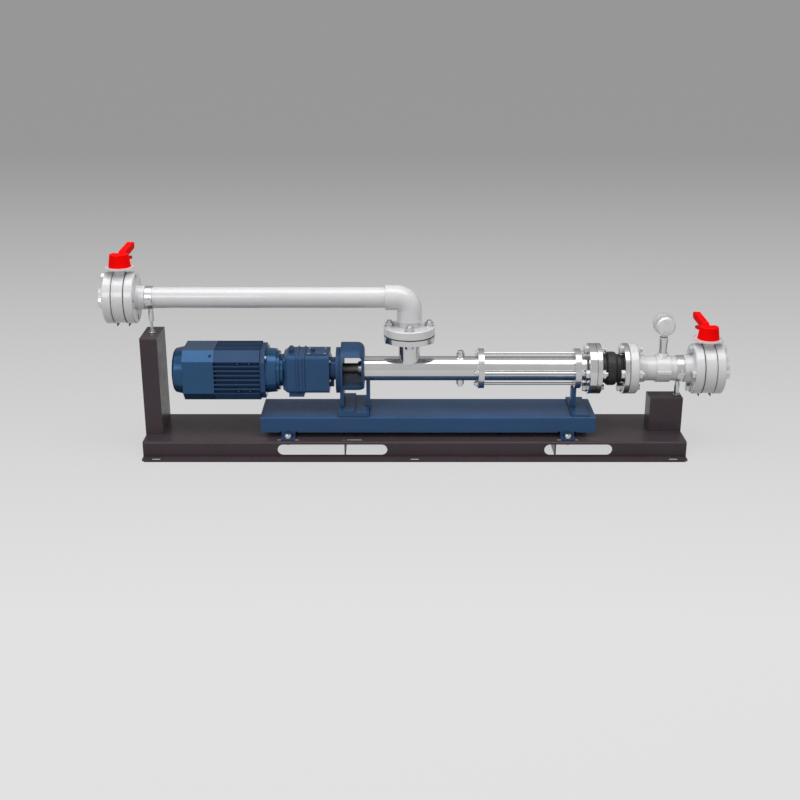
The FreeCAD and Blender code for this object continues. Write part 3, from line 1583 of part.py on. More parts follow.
def valve_lever(name):
    """The conical hub and its long lever, pointing to the rear when the valve is closed."""
    x, z = VALVES[name]
    low = z + dim.valve_plate_rise + dim.valve_plate_thick + dim.slip_fit
    hub = taper((x, 0, low), "Z", dim.hub_base_radius, dim.hub_top_radius, dim.hub_rise)
    top = low + dim.hub_rise
    under = lever_under(z)
    tip = top + 1
    arm = plate("YZ_Plane", (x, 0, 0), [
        (10, under), (60, under + 2), (dim.lever_reach - 6, tip - dim.lever_height),
        (dim.lever_reach, tip - dim.lever_height + 6),
        (dim.lever_reach, tip - 5), (dim.lever_reach - 5, tip), (44, top - 1), (30, top - 8),
        (10, top - 10),
    ], dim.lever_width)
    cheeks = [
        block((x + shift, dim.latch_pin_y - 8, under - 10), (dim.latch_cheek, 16, 13))
        for shift in (-dim.lever_width / 2, dim.lever_width / 2 - dim.latch_cheek)
    ]
    stem_room = rod((x, 0, low - 1), "Z", dim.valve_stem_radius, dim.hub_rise / 2 + 1 - dim.slip_fit)
    notch = block((x - dim.lever_width, dim.hub_top_radius * 0.6, top - 7), (dim.lever_width * 2, 15, 10))
    pin_hole = rod(
        (x - dim.lever_width, dim.latch_pin_y, under - dim.latch_pin_drop), "X",
        dim.latch_pin_radius + dim.shaft_fit, dim.lever_width * 2
    )
    return node(f"{name}_valve_lever", cut(fuse([hub, arm, *cheeks]), [stem_room, notch, pin_hole]))


def valve_latch(name):
    """The squeeze latch hung under the lever on its pin, with its hook by the index plate's rim."""
    x, z = VALVES[name]
    under = lever_under(z)
    wide = dim.lever_width - dim.latch_cheek * 2 - dim.latch_gap
    reach = dim.latch_reach
    hook = dim.valve_plate_radius + dim.slip_fit + 3
    plate_top = z + dim.valve_plate_rise + dim.valve_plate_thick + dim.slip_fit
    bar = plate("YZ_Plane", (x, 0, 0), [
        (dim.latch_pin_y - 6, under - 2), (dim.latch_pin_y + 6, under - 2), (reach - 8, under - 12),
        (reach, under - 18),
        (reach - 4, under - 23), (dim.latch_pin_y + 8, under - 12), (dim.latch_pin_y - 4, under - 12),
        (hook + 4, plate_top), (hook, plate_top), (hook, plate_top + 4),
    ], wide)
    pin = rod(
        (x - dim.lever_width / 2, dim.latch_pin_y, under - dim.latch_pin_drop), "X", dim.latch_pin_radius,
        dim.lever_width
    )
    return node(f"{name}_valve_latch", fuse([bar, pin]))


def gauge_saddle():
    """The clamp-on saddle under the gauge, with its conical boss."""
    z = dim.pump_line_z
    inner = dim.discharge_pipe_radius + dim.slip_fit
    outer = inner + 4
    left = dim.gauge_x - dim.saddle_width / 2
    band = rod((left, 0, z), "X", outer, dim.saddle_width)
    ears = block((left, -outer - 9, z - 4), (dim.saddle_width, (outer + 9) * 2, 8))
    boss = taper(
        (dim.gauge_x, 0, z + inner - 2), "Z", dim.saddle_width / 2, dim.seal_stem_radius + 3,
        dim.saddle_rise - inner + 2
    )
    tools = [rod((left - 1, 0, z), "X", inner, dim.saddle_width + 2)]
    return node("gauge_saddle", cut(fuse([band, ears, boss]), tools))


def gauge_seal():
    """The stem and diaphragm seal between saddle and gauge."""
    z = dim.pump_line_z + dim.saddle_rise
    body_height = dim.gauge_rise - dim.saddle_rise - dim.gauge_radius
    stem = turned("Z", (dim.gauge_x, 0, z), [
        (0, 0), (0, dim.seal_stem_radius - 1), (body_height * 0.55, dim.seal_stem_radius - 1),
        (body_height * 0.55, dim.seal_stem_radius),
        (body_height * 0.86, dim.seal_stem_radius), (body_height * 0.9, 6), (body_height, 6),
        (body_height, 0),
    ])
    return node("gauge_seal", stem)


def gauge_case():
    """The round gauge case, open to the rear, with its blow-out disc and bezel."""
    z = dim.pump_line_z + dim.gauge_rise
    front = -dim.gauge_depth / 2
    back = dim.gauge_depth / 2
    bezel = 5
    shell = turned("Y", (dim.gauge_x, 0, z), [
        (front, 0), (front + dim.gauge_wall * 2, 0),
        (front + dim.gauge_wall * 2, dim.gauge_radius - dim.gauge_wall),
        (back - 3, dim.gauge_radius - dim.gauge_wall), (back - 3, dim.bezel_radius - 5),
        (back, dim.bezel_radius - 5),
        (back, dim.bezel_radius), (back - bezel, dim.bezel_radius), (back - bezel, dim.gauge_radius),
        (front + dim.gauge_edge, dim.gauge_radius),
        (front, dim.gauge_radius - dim.gauge_edge),
    ])
    lug = rod((dim.gauge_x - dim.gauge_radius + 2, 0, z - dim.gauge_radius * 0.55), "Y", 3, 8)
    return node("gauge_case", fuse([shell, lug]))


def gauge_dial():
    """The dial plate inside the gauge case, and the movement behind it on the case floor."""
    z = dim.pump_line_z + dim.gauge_rise
    depth = dim.gauge_depth / 2
    dial = ring("Y", (dim.gauge_x, depth - 12, z), dim.gauge_radius - dim.gauge_wall, 2 + dim.shaft_fit, 2)
    floor = dim.gauge_wall * 2 - depth
    movement = rod((dim.gauge_x, floor, z), "Y", 12, depth - 12 - floor)
    arbor_room = rod((dim.gauge_x, floor + 4, z), "Y", 2 + dim.shaft_fit, dim.gauge_depth)
    return node("gauge_dial", group([dial, cut(movement, [arbor_room])]))


def gauge_pointer():
    """The pointer with its arbor, at its zero at the lower left of the dial as seen from the rear."""
    z = dim.pump_line_z + dim.gauge_rise
    face = dim.gauge_depth / 2 - 10
    hub = rod((dim.gauge_x, face + 1, z), "Y", 4, 2)
    arbor = rod((dim.gauge_x, face - 5, z), "Y", 2, 7)
    needle = DOC.addObject("Part::Box", "needle")
    bind(needle, "Length", dim.gauge_radius * 0.72)
    bind(needle, "Width", 1)
    bind(needle, "Height", 2)
    turn = FreeCAD.Rotation(FreeCAD.Vector(0, 1, 0), 45)
    shift = turn.multVec(FreeCAD.Vector(0, 0, -1))
    place(needle, (dim.gauge_x + shift.x, face + 1.2, z + shift.z), turn)
    return node("gauge_pointer", fuse([hub, arbor, needle]))


def gauge_window():
    """The clear window behind the bezel lip."""
    z = dim.pump_line_z + dim.gauge_rise
    pane = rod((dim.gauge_x, dim.gauge_depth / 2 - 5, z), "Y", dim.gauge_radius - dim.gauge_wall, 2)
    return node("gauge_window", pane)


def gear_points(teeth, phase):
    """The outline of a spur gear with involute flanks, thinned a little for backlash."""
    pitch_radius = float(dim.tooth_module) * teeth / 2
    base_radius = pitch_radius * math.cos(math.radians(20))
    tip_radius = pitch_radius + 0.8 * float(dim.tooth_module)
    root_radius = pitch_radius - 1.15 * float(dim.tooth_module)
    low_radius = max(base_radius, root_radius)
    half_tooth = math.pi / teeth / 2 * 0.90

    def roll(radius):
        ratio = max(radius / base_radius, 1.0)
        angle = math.acos(1 / ratio)
        return math.tan(angle) - angle

    at_pitch = roll(pitch_radius)
    flank = [low_radius + (tip_radius - low_radius) * step / 3 for step in range(4)]
    points = []
    for tooth in range(teeth):
        centre = 2 * math.pi * tooth / teeth + phase
        left = [(radius, centre - half_tooth - at_pitch + roll(radius)) for radius in flank]
        right = [(radius, centre + half_tooth + at_pitch - roll(radius)) for radius in reversed(flank)]
        foot = [(root_radius, left[0][1])]
        heel = [(root_radius, right[-1][1])]
        points.extend([*foot, *left, *right, *heel])
    return points


def gear(teeth, at, width, phase):
    """A spur gear blank along X with its teeth, from its base centre."""
    x, y, z = (float(value) for value in at)
    points = []
    for radius, angle in gear_points(int(float(teeth)), phase):
        points.append(FreeCAD.Vector(x, y + radius * math.cos(angle), z + radius * math.sin(angle)))
    wire = Part.makePolygon([*points, points[0]])
    return Part.Face(wire).extrude(FreeCAD.Vector(float(width), 0, 0))


def solid_feature(label, shape):
    """A sub-part whose shape is worked out directly."""
    item = DOC.addObject("Part::Feature", label)
    item.Shape = shape
    return node(label, item)


def bar_shape(at, radius, length):
    """A plain round bar along X as a shape, from its base centre."""
    centre = FreeCAD.Vector(*[float(value) for value in at])
    return Part.makeCylinder(float(radius), float(length), centre, FreeCAD.Vector(1, 0, 0))


def gear_train():
    """The two-stage reducer: input pinion, layshaft and output wheel, with the output above the input."""
    motor_line = (0, motor_line_z)
    pump_line = (0, dim.pump_line_z)
    lay_line = (lay_y, lay_z)
    rise = math.atan2(float(half_rise), float(lay_y))
    half_pitch = math.pi / float(dim.wheel_teeth)
    width = dim.gear_width
    pinion = gear(dim.pinion_teeth, (dim.input_stage_x, *motor_line), width, rise)
    shank_start = gearbox_start + 4
    shank = bar_shape(
        (shank_start, *motor_line), dim.motor_shaft_radius - 4, dim.input_stage_x - shank_start
    )
    solid_feature("motor_pinion", pinion.fuse(shank))
    wheel = gear(
        dim.wheel_teeth, (dim.input_stage_x + 1, *lay_line), width - 2, rise + math.pi + half_pitch
    )
    small = gear(dim.pinion_teeth, (dim.output_stage_x, *lay_line), width, math.pi - rise)
    lay_start = gearbox_start + dim.gearbox_cover - dim.layshaft_seat + dim.slip_fit
    lay_length = gearbox_inner_end + dim.layshaft_seat - lay_start
    layshaft = bar_shape((lay_start, *lay_line), dim.layshaft_radius, lay_length)
    solid_feature("layshaft_gear", wheel.fuse(small).fuse(layshaft))
    output = gear(dim.wheel_teeth, (dim.output_stage_x + 1, *pump_line), width - 2, half_pitch - rise)
    bore = bar_shape((dim.output_stage_x, *pump_line), dim.drive_radius, width)
    solid_feature("output_gear", output.cut(bore))


def drive_shaft():
    """The drive shaft from the output gear through lantern and seal to its joint head."""
    z = dim.pump_line_z
    start = dim.output_stage_x - 4
    head_start = dim.casing_start + 8
    head_end = head_start + dim.drive_head_length
    socket = dim.joint_eye_radius + dim.joint_room
    return node("drive_shaft", turned("X", (0, 0, z), [
        (start, 0), (head_end - dim.joint_eye_length - 6, 0),
        (head_end - dim.joint_eye_length - 6, socket), (head_end, socket),
        (head_end, dim.drive_head_radius), (head_start, dim.drive_head_radius),
        (head_start, dim.drive_radius), (start, dim.drive_radius),
    ]))


def coupling_rod():
    """The rod between the two pin joints, and the rubber boots round its ends."""
    z = dim.pump_line_z
    drive_pin_x = dim.casing_start + 8 + dim.drive_head_length - dim.joint_eye_length / 2 - 3
    rotor_pin_x = stator_start - dim.rotor_head_length + dim.joint_eye_length / 2 + 1
    span = float(rotor_pin_x - drive_pin_x)
    lean = math.degrees(math.atan2(float(dim.eccentricity), span))
    start = FreeCAD.Vector(float(drive_pin_x), 0, float(z))
    along = FreeCAD.Vector(span, float(dim.eccentricity), 0).normalize()
    length = span / math.cos(math.radians(lean))
    eye = float(dim.joint_eye_length) - 4
    eye_radius = float(dim.joint_eye_radius)
    bar = Part.makeCylinder(float(dim.joint_rod_radius), length, start, along)
    shape = bar
    for centre in (0.0, length):
        low = start + along * (centre - eye / 2)
        shape = shape.fuse(Part.makeCylinder(eye_radius, eye, low, along))
    solid_feature("coupling_rod", shape)
    boots = []
    boot_length = 24.0
    gap = eye / 2 + 6.5
    for centre, side in ((gap, 1), (length - gap, -1)):
        low = start + along * centre
        outer = Part.makeCone(
            float(dim.boot_radius), float(dim.joint_rod_radius) + 3, boot_length, low, along * side
        )
        hole = Part.makeCylinder(
            float(dim.joint_rod_radius), boot_length + 2, low - along * side, along * side
        )
        boots.append(outer.cut(hole))
    return solid_feature("joint_boots", Part.makeCompound(boots))


def motor_rotor():
    """The motor's shaft with its rotor core, and the fan on the shaft's tail."""
    z = motor_line_z
    core_start = cowl_end + (dim.motor_body - dim.core_length) / 2
    tail = cowl_start + 14
    nose = gearbox_start + 4
    core_radius = dim.core_bore_radius - 0.5
    node("motor_rotor", turned("X", (0, 0, z), [
        (tail, 0), (nose, 0), (nose, dim.motor_shaft_radius),
        (core_start + dim.core_length, dim.motor_shaft_radius),
        (core_start + dim.core_length, core_radius), (core_start, core_radius),
        (core_start, dim.motor_shaft_radius),
        (tail, dim.motor_shaft_radius),
    ]))
    fan_start = cowl_start + 24
    pieces = [ring("X", (fan_start, 0, z), dim.motor_shaft_radius + 8, dim.motor_shaft_radius, dim.fan_width),
              ring("X", (fan_start + dim.fan_width - 3, 0, z), dim.fan_radius, dim.motor_shaft_radius, 3)]
    for index in range(int(float(dim.fan_blades))):
        blade = DOC.addObject("Part::Box", "blade")
        turn = FreeCAD.Rotation(FreeCAD.Vector(1, 0, 0), 360 / float(dim.fan_blades) * index)
        bind(blade, "Length", dim.fan_width)
        bind(blade, "Width", dim.fan_blade)
        bind(blade, "Height", dim.fan_radius - dim.motor_shaft_radius - 2)
        outward = turn.multVec(FreeCAD.Vector(0, 0, 1))
        side = turn.multVec(FreeCAD.Vector(0, -float(dim.fan_blade) / 2, 0))
        rise = dim.motor_shaft_radius + 2
        place(blade, (fan_start, rise * outward.y + side.y, z + rise * outward.z + side.z), turn)
        pieces.append(blade)
    return node("motor_fan", fuse(pieces))


def build():
    """Make every sub-part."""
    skid_tray()
    tray_cross_ribs()
    posts()
    pump_base_channel()
    base_bolts()
    pipe_clamps()
    motor_housing()
    terminal_box()
    motor_fan_cowl()
    motor_end_shields()
    motor_stator_core()
    motor_rotor()
    shaft_bearings()
    gearbox_housing()
    gearbox_input_cover()
    gear_train()
    lantern()
    lantern_feet()
    shaft_seal()
    drive_shaft()
    coupling_rod()
    suction_casing()
    drain_plugs()
    stator_tube()
    stator_rubber()
    pump_rotor()
    stator_end_plates()
    tie_rods()
    discharge_nozzle()
    support_leg()
    bellows()
    bellows_flanges()
    inner_pipe_flanges()
    outer_pipe_flanges()
    gaskets()
    suction_pipes()
    suction_elbow()
    discharge_pipe()
    flange_bolts()
    for name in VALVES:
        valve_body(name)
        valve_disc(name)
        valve_lever(name)
        valve_latch(name)
    valve_seats()
    index_plates()
    gauge_saddle()
    gauge_seal()
    gauge_case()
    gauge_dial()
    gauge_pointer()
    gauge_window()


def check():
    """Stop if any object failed or any sub-part's shape is empty or broken."""
    for item in DOC.Objects:
        for state in ("Invalid", "Error"):
            if state in item.State:
                raise RuntimeError(f"{item.Name} ({item.Label}) is {item.State}")
    for label, item in NODES.items():
        shape = item.Shape
        if shape.isNull() or not shape.isValid() or not shape.Solids:
            raise RuntimeError(f"{label} has no valid shape")


def export():
    """Write each sub-part to its own file."""
    os.makedirs("parts", exist_ok=True)
    for label, item in NODES.items():
        item.Shape.exportStep(f"parts/{label}.step")


DOC.recompute()
build()
DOC.recompute()
check()
export()
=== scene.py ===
"""Looks of a skid-mounted progressive cavity pump set: studio, finishes and fine pieces around its solids.

Everything is in metres in the part's own frame: the pump line runs along X, the front faces -Y and Z is up.
"""

import json
import logging
import math
from dataclasses import dataclass
from enum import Enum
from typing import Iterable, Sequence

import bmesh
import bpy
from mathutils import Matrix, Vector

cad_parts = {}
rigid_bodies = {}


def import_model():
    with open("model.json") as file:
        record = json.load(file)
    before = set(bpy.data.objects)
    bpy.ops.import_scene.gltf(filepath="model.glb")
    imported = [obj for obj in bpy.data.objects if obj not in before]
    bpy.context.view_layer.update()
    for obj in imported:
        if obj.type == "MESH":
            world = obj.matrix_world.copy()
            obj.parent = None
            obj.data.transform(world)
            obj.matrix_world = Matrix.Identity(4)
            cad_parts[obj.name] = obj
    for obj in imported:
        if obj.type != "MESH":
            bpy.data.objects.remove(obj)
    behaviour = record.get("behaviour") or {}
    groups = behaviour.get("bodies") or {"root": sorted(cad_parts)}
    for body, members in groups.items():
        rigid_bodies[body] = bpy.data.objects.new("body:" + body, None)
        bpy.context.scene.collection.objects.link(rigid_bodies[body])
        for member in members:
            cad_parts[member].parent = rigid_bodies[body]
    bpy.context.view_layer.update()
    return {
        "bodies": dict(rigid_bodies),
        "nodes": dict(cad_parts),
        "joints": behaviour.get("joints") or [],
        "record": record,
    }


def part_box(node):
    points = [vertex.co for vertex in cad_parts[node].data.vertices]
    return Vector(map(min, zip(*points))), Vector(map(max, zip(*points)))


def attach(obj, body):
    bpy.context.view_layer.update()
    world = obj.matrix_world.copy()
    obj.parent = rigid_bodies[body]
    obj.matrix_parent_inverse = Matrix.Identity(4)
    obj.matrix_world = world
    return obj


LOG = logging.getLogger("pump_set")
MM = 0.001
ALONG = Vector((1.0, 0.0, 0.0))
ACROSS = Vector((0.0, 1.0, 0.0))
UP = Vector((0.0, 0.0, 1.0))
SIDES = (-1, 1)
QUARTERS = (0, 90, 180, 270)
DIAGONALS = (45, 135, 225, 315)
SMOOTH_LIMIT = math.radians(35.0)
PIPE_RADIUS = 31.5 * MM
SOCKET_RADIUS = 37.5 * MM
STEEL_FLANGE = 16 * MM
TRAY_TOP = 50 * MM
Point = tuple[float, float, float]
Outline = Sequence[tuple[float, float]]
Seat = tuple[Vector, Vector]
Socket = bpy.types.NodeSocket


class Slot(Enum):
    """The record's material slots, each with one finish."""

    TRAY = "tray_paint"
    BLUE = "blue_paint"
    CAST_BLUE = "lantern_paint"
    STAINLESS = "stainless"
    ZINC = "zinc_steel"
    GEAR = "gear_steel"
    CORE = "core_iron"
    PIPE = "grey_plastic"
    DARK_PLASTIC = "black_plastic"
    RUBBER = "black_rubber"
    DISC = "disc_plastic"
    RED = "red_plastic"
    DIAL = "dial_white"
    WINDOW = "clear_window"


def shade(colour: Point, factor: float) -> Point:
    """A colour made darker or lighter."""
    return tuple(min(channel * factor, 1.0) for channel in colour)


class Graph:
    """The node tree of a material or of the sky, with short calls for nodes and links."""

    def __init__(self, owner: bpy.types.Material | bpy.types.World) -> None:
        """Empty the owner's tree.

        Args:
            owner: the material or world that the tree belongs to.
        """
        owner.use_nodes = True
        self.owner = owner
        self.tree = owner.node_tree
        self.tree.nodes.clear()
        self.coords = self.add("TexCoord").outputs

    def put(self, target: Socket, value: object) -> None:
        """Fill one input.

        Args:
            target: the input.
            value: its own value, an output to link, or a node whose first output is linked.
        """
        if isinstance(value, bpy.types.Node):
            value = value.outputs[0]
        if isinstance(value, Socket):
            self.tree.links.new(value, target)
        else:
            target.default_value = value

    def add(self, kind: str, *inputs: object, **values: object) -> bpy.types.Node:
        """Add one node.

        Args:
            kind: the node's type name without its usual start.
            inputs: what goes into its first inputs, in order.
            values: its properties, or inputs by name with spaces as underscores.

        Returns:
            The new node.
        """
        node = self.tree.nodes.new("ShaderNode" + kind)
        for key, value in values.items():
            if hasattr(node, key):
                setattr(node, key, value)
            else:
                self.put(node.inputs[key.replace("_", " ")], value)
        for target, value in zip(node.inputs, inputs):
            self.put(target, value)
        return node

    def noise(self, scale: float, detail: float = 3.0, stretch: Point | None = None) -> Socket:
        """A noise pattern over the surface.

        Args:
            scale: how many cells to a metre.
            detail: how many finer layers are added.
            stretch: further cells along each axis, for a pattern that runs one way.

        Returns:
            The noise value, from 0 to 1.
        """
        at = self.coords["Object"]
        if stretch:
            at = self.add("Mapping", Vector=at, Scale=stretch).outputs["Vector"]
        return self.add("TexNoise", Vector=at, Scale=scale, Detail=detail).outputs["Fac"]

    def ranged(self, value: Socket, low: float, high: float, start: float = 0.3, end: float = 0.7) -> Socket:
        """A value stretched from one range to another."""
        node = self.add("MapRange", Value=value, From_Min=start, From_Max=end, To_Min=low, To_Max=high)
        return node.outputs["Result"]

    def ramp(self, value: Socket, *stops: tuple[float, float | Point]) -> Socket:
        """A colour looked up by a value.

        Args:
            value: the number that picks the colour.
            stops: (position, grey level or colour) pairs in rising order.

        Returns:
            The colour.
        """
        node = self.add("ValToRGB", Fac=value)
        elements = node.color_ramp.elements
        while len(elements) < len(stops):
            elements.new(0.5)
        for element, (position, tone) in zip(elements, stops):
            element.position = position
            element.color = (*(tone if isinstance(tone, tuple) else (tone,) * 3), 1.0)
        return node.outputs["Color"]

    def clouded(self, colour: Point, scale: float, detail: float, low: float, high: float) -> Socket:
        """A colour that drifts between a darker and a lighter shade over the surface."""
        return self.ramp(self.noise(scale, detail), (0.3, shade(colour, low)), (0.7, shade(colour, high)))

    def mix(self, factor: float | Socket, first: Socket, second: object, blend: str = "MIX") -> Socket:
        """One colour laid over another."""
        node = self.add("Mix", data_type="RGBA", blend_type=blend, Factor=factor, A=first, B=second)
        return node.outputs["Result"]

    def edges(self, radius: float) -> Socket:
        """A mask along sharp edges.

        Args:
            radius: how far it reaches from an edge, in metres.

        Returns:
            1 along sharp edges and 0 on flat or evenly curved faces.
        """
        rounded = self.add("Bevel", samples=4, Radius=radius).outputs["Normal"]
        flat = self.add("NewGeometry").outputs["Normal"]
        facing = self.add("VectorMath", rounded, flat, operation="DOT_PRODUCT").outputs["Value"]
        return self.ranged(facing, low=1.0, high=0.0, start=0.80, end=0.985)

    def hollows(self, reach: float) -> Socket:
        """A mask that falls from 1 on open faces towards 0 in grooves and corners."""
        return self.add("AmbientOcclusion", samples=6, Distance=reach).outputs["AO"]

    def bump(self, height: Socket, strength: float, distance: float, edge: float) -> Socket:
        """A bumped normal with softened edges.

        Args:
            height: the height pattern.
            strength: how strongly it shows.
            distance: the pattern's depth in metres.
            edge: the radius that edges are softened by, in metres.

        Returns:
            The normal for a shader.
        """
        soft = self.add("Bevel", samples=4, Radius=edge).outputs["Normal"]
        node = self.add("Bump", Strength=strength, Distance=distance, Height=height, Normal=soft)
        return node.outputs["Normal"]

    def end(self, shader: bpy.types.Node, output: str = "OutputMaterial") -> None:
        """End the tree in a shader."""
        self.add(output, Surface=shader)

    def surface(self, **values: object) -> bpy.types.Material:
        """End the tree in a principled shader.

        Args:
            values: the shader's inputs, as numbers, colours or outputs.

        Returns:
            The finished material.
        """
        self.end(self.add("BsdfPrincipled", **values))
        return self.owner


@dataclass(frozen=True)
class Finish:
    """What every finish has: a name and a main colour."""

    name: str
    colour: Point

    def graph(self) -> Graph:
        """The empty tree of a new material."""
        return Graph(bpy.data.materials.new(self.name))

    def tint(self, factor: float) -> tuple[float, ...]:
        """A lighter or darker shade of the colour, with its alpha."""
        return (*shade(self.colour, factor), 1.0)

    def build(self) -> bpy.types.Material:
        """Make the material, in each kind of finish's own way."""
        raise NotImplementedError


@dataclass(frozen=True)
class Paint(Finish):
    """A sprayed paint with orange peel and a little dust; its colour carries a painted highlight along sharp
    edges, in patches, and painted shade in grooves and corners.
    """

    roughness: float
    peel: float = 0.06
    peel_scale: float = 900.0
    edge_light: float = 1.5
    edge_reach: float = 1.2 * MM
    groove_reach: float = 11 * MM
    coat: float = 0.4
    coat_roughness: float = 0.05
    metallic: float = 0.0
    specular: float = 0.5
    grime: float = 0.25

    def build(self) -> bpy.types.Material:
        """Make the material.

        Returns:
            The material.
        """
        graph = self.graph()
        body = graph.clouded(self.colour, scale=9.0, detail=4.0, low=0.93, high=1.07)
        # Painted highlight: the colour is lightened along sharp edges, in patches.
        patchy = graph.ranged(graph.noise(160.0), low=0.15, high=0.6)
        lit_edges = graph.add("Math", graph.edges(self.edge_reach), patchy, operation="MULTIPLY")
        body = graph.mix(lit_edges, body, self.tint(self.edge_light))
        # Painted shade: the colour is darkened in grooves and corners by the occlusion mask.
        grooves = graph.ramp(graph.hollows(self.groove_reach), (0.25, self.grime), (0.85, 1.0))
        dust = graph.ranged(graph.noise(30.0, 5.0), self.roughness * 0.85, self.roughness * 1.2)
        peel = graph.noise(self.peel_scale, 2.0)
        return graph.surface(
            Base_Color=graph.mix(1.0, body, grooves, "MULTIPLY"), Metallic=self.metallic, Roughness=dust,
            Coat_Weight=self.coat, Coat_Roughness=self.coat_roughness, Specular_IOR_Level=self.specular,
            Normal=graph.bump(peel, self.peel, distance=0.3 * MM, edge=0.8 * MM),
        )


@dataclass(frozen=True)
class Metal(Finish):
    """A metal surface with fine machining or polishing lines and a faint cloudiness."""

    roughness: float
    lines: Point = (30.0, 2500.0, 2500.0)
    line_strength: float = 0.04
    spread: float = 1.35

    def build(self) -> bpy.types.Material:
        """Make the material.

        Returns:
            The material.
        """
        graph = self.graph()
        fine = graph.noise(1.0, 2.0, self.lines)
        return graph.surface(
            Base_Color=graph.clouded(self.colour, scale=14.0, detail=4.0, low=0.95, high=1.04), Metallic=1.0,
            Roughness=graph.ranged(fine, self.roughness, self.roughness * self.spread),
            Normal=graph.bump(fine, self.line_strength, distance=0.05 * MM, edge=0.6 * MM),
        )


@dataclass(frozen=True)
class Plastic(Finish):
    """A moulded or extruded plastic with soft gloss, slight mottling and a painted highlight along its
    edges.
    """

    roughness: float
    grain: float = 0.05
    grain_scale: float = 1400.0
    stretch: Point = (1.0, 1.0, 1.0)
    edge_light: float = 1.12
    edge_reach: float = 0.9 * MM
    specular: float = 0.5
    mottle: float = 0.015

    def build(self) -> bpy.types.Material:
        """Make the material.

        Returns:
            The material.
        """
        graph = self.graph()
        darkest, lightest = 1.0 - self.mottle, 1.0 + self.mottle
        body = graph.clouded(self.colour, scale=22.0, detail=5.0, low=darkest, high=lightest)
        fine = graph.noise(self.grain_scale, 2.0, self.stretch)
        # Painted highlight: the colour is lightened along sharp edges.
        return graph.surface(
            Base_Color=graph.mix(graph.edges(self.edge_reach), body, self.tint(self.edge_light)),
            Roughness=graph.ranged(graph.noise(60.0, 4.0), self.roughness * 0.85, self.roughness * 1.15),
            Specular_IOR_Level=self.specular,
            Normal=graph.bump(fine, self.grain, distance=0.15 * MM, edge=0.8 * MM),
        )


@dataclass(frozen=True)
class Rubber(Finish):
    """A black moulded rubber with a fine dull grain and a trace of bloom."""

    colour: Point = (0.009, 0.009, 0.010)
    bloom: Point = (0.022, 0.022, 0.023)
    roughness: float = 0.5
    grain: float = 0.12
    grain_scale: float = 1800.0
    sheen: float = 0.03

    def build(self) -> bpy.types.Material:
        """Make the material.

        Returns:
            The material.
        """
        graph = self.graph()
        grain = graph.noise(self.grain_scale)
        return graph.surface(
            Base_Color=graph.ramp(graph.noise(40.0, 6.0), (0.35, self.colour), (0.8, self.bloom)),
            Roughness=graph.ranged(graph.noise(120.0, 4.0), self.roughness * 0.8, self.roughness * 1.25),
            Sheen_Weight=self.sheen, Normal=graph.bump(grain, self.grain, distance=0.2 * MM, edge=0.8 * MM),
        )


@dataclass(frozen=True)
class Laminations(Finish):
    """A stack of varnished iron sheets, seen as fine lines across the shaft."""

    colour: Point = (0.16, 0.13, 0.10)
    sheets: float = 2000.0

    def build(self) -> bpy.types.Material:
        """Make the material.

        Returns:
            The material.
        """
        graph = self.graph()
        lines = graph.add("TexWave", bands_direction="X", Vector=graph.coords["Object"],
                          Scale=self.sheets / math.tau, Distortion=0.2).outputs["Fac"]
        colour = graph.ramp(lines, (0.2, shade(self.colour, 0.6)), (0.8, shade(self.colour, 1.2)))
        normal = graph.bump(lines, strength=0.3, distance=0.2 * MM, edge=0.4 * MM)
        return graph.surface(Base_Color=colour, Metallic=0.6, Roughness=0.45, Normal=normal)


@dataclass(frozen=True)
class ClearPane(Finish):
    """The gauge's clear window, with faint wipe marks."""

    colour: Point = (0.96, 0.98, 0.98)
    wipes: Point = (60.0, 60.0, 500.0)

    def build(self) -> bpy.types.Material:
        """Make the material.

        Returns:
            The material.
        """
        graph = self.graph()
        wipe = graph.ranged(graph.noise(1.0, 3.0, self.wipes), low=0.01, high=0.06)
        return graph.surface(Base_Color=self.tint(1.0), Roughness=wipe, Transmission_Weight=1.0, IOR=1.45)


FINISHES: dict[Slot, Finish] = {
    # The tray paint's corners and post feet are darkened as painted shade.
    Slot.TRAY: Paint("tray_powder_coat", (0.058, 0.043, 0.050), 0.30, peel=0.01, coat=0.12,
                     coat_roughness=0.03, specular=0.10, grime=0.45),
    Slot.BLUE: Paint("machine_blue_paint", (0.032, 0.080, 0.180), 0.30, peel=0.01, coat=0.04,
                     metallic=0.15, specular=0.12),
    Slot.CAST_BLUE: Paint("cast_blue_paint", (0.026, 0.066, 0.148), 0.38, peel=0.08, peel_scale=420.0,
                          coat=0.02, metallic=0.05, specular=0.15),
    Slot.STAINLESS: Metal("polished_stainless", (0.64, 0.64, 0.65), 0.11, line_strength=0.02),
    Slot.ZINC: Metal("bright_zinc", (0.62, 0.63, 0.64), 0.24, lines=(900, 900, 900), line_strength=0.08),
    Slot.GEAR: Metal("machined_steel", (0.42, 0.42, 0.43), 0.28, lines=(4000, 60, 60), line_strength=0.1),
    Slot.CORE: Laminations("core_sheets"),
    Slot.PIPE: Plastic("pipe_grey_plastic", (0.65, 0.65, 0.66), 0.13, grain=0.01, stretch=(0.03, 1.0, 1.0),
                       specular=0.7),
    Slot.DARK_PLASTIC: Plastic("black_moulding", (0.018, 0.018, 0.019), 0.45, grain=0.15),
    Slot.RUBBER: Rubber("black_rubber_moulding"),
    Slot.DISC: Plastic("disc_moulding", (0.33, 0.33, 0.34), 0.40, grain=0.1),
    Slot.RED: Plastic("red_moulding", (0.93, 0.0008, 0.0006), 0.60, grain=0.06, edge_light=1.06,
                      specular=0.04),
    Slot.DIAL: Plastic("dial_enamel", (0.86, 0.86, 0.84), 0.35, grain=0.03),
    Slot.WINDOW: ClearPane("clear_pane"),
}
INK = Plastic("dial_ink", (0.012, 0.012, 0.013), 0.5, grain=0.02)
SHADOW = Plastic("grille_shadow", (0.006, 0.007, 0.010), 0.6, grain=0.05)
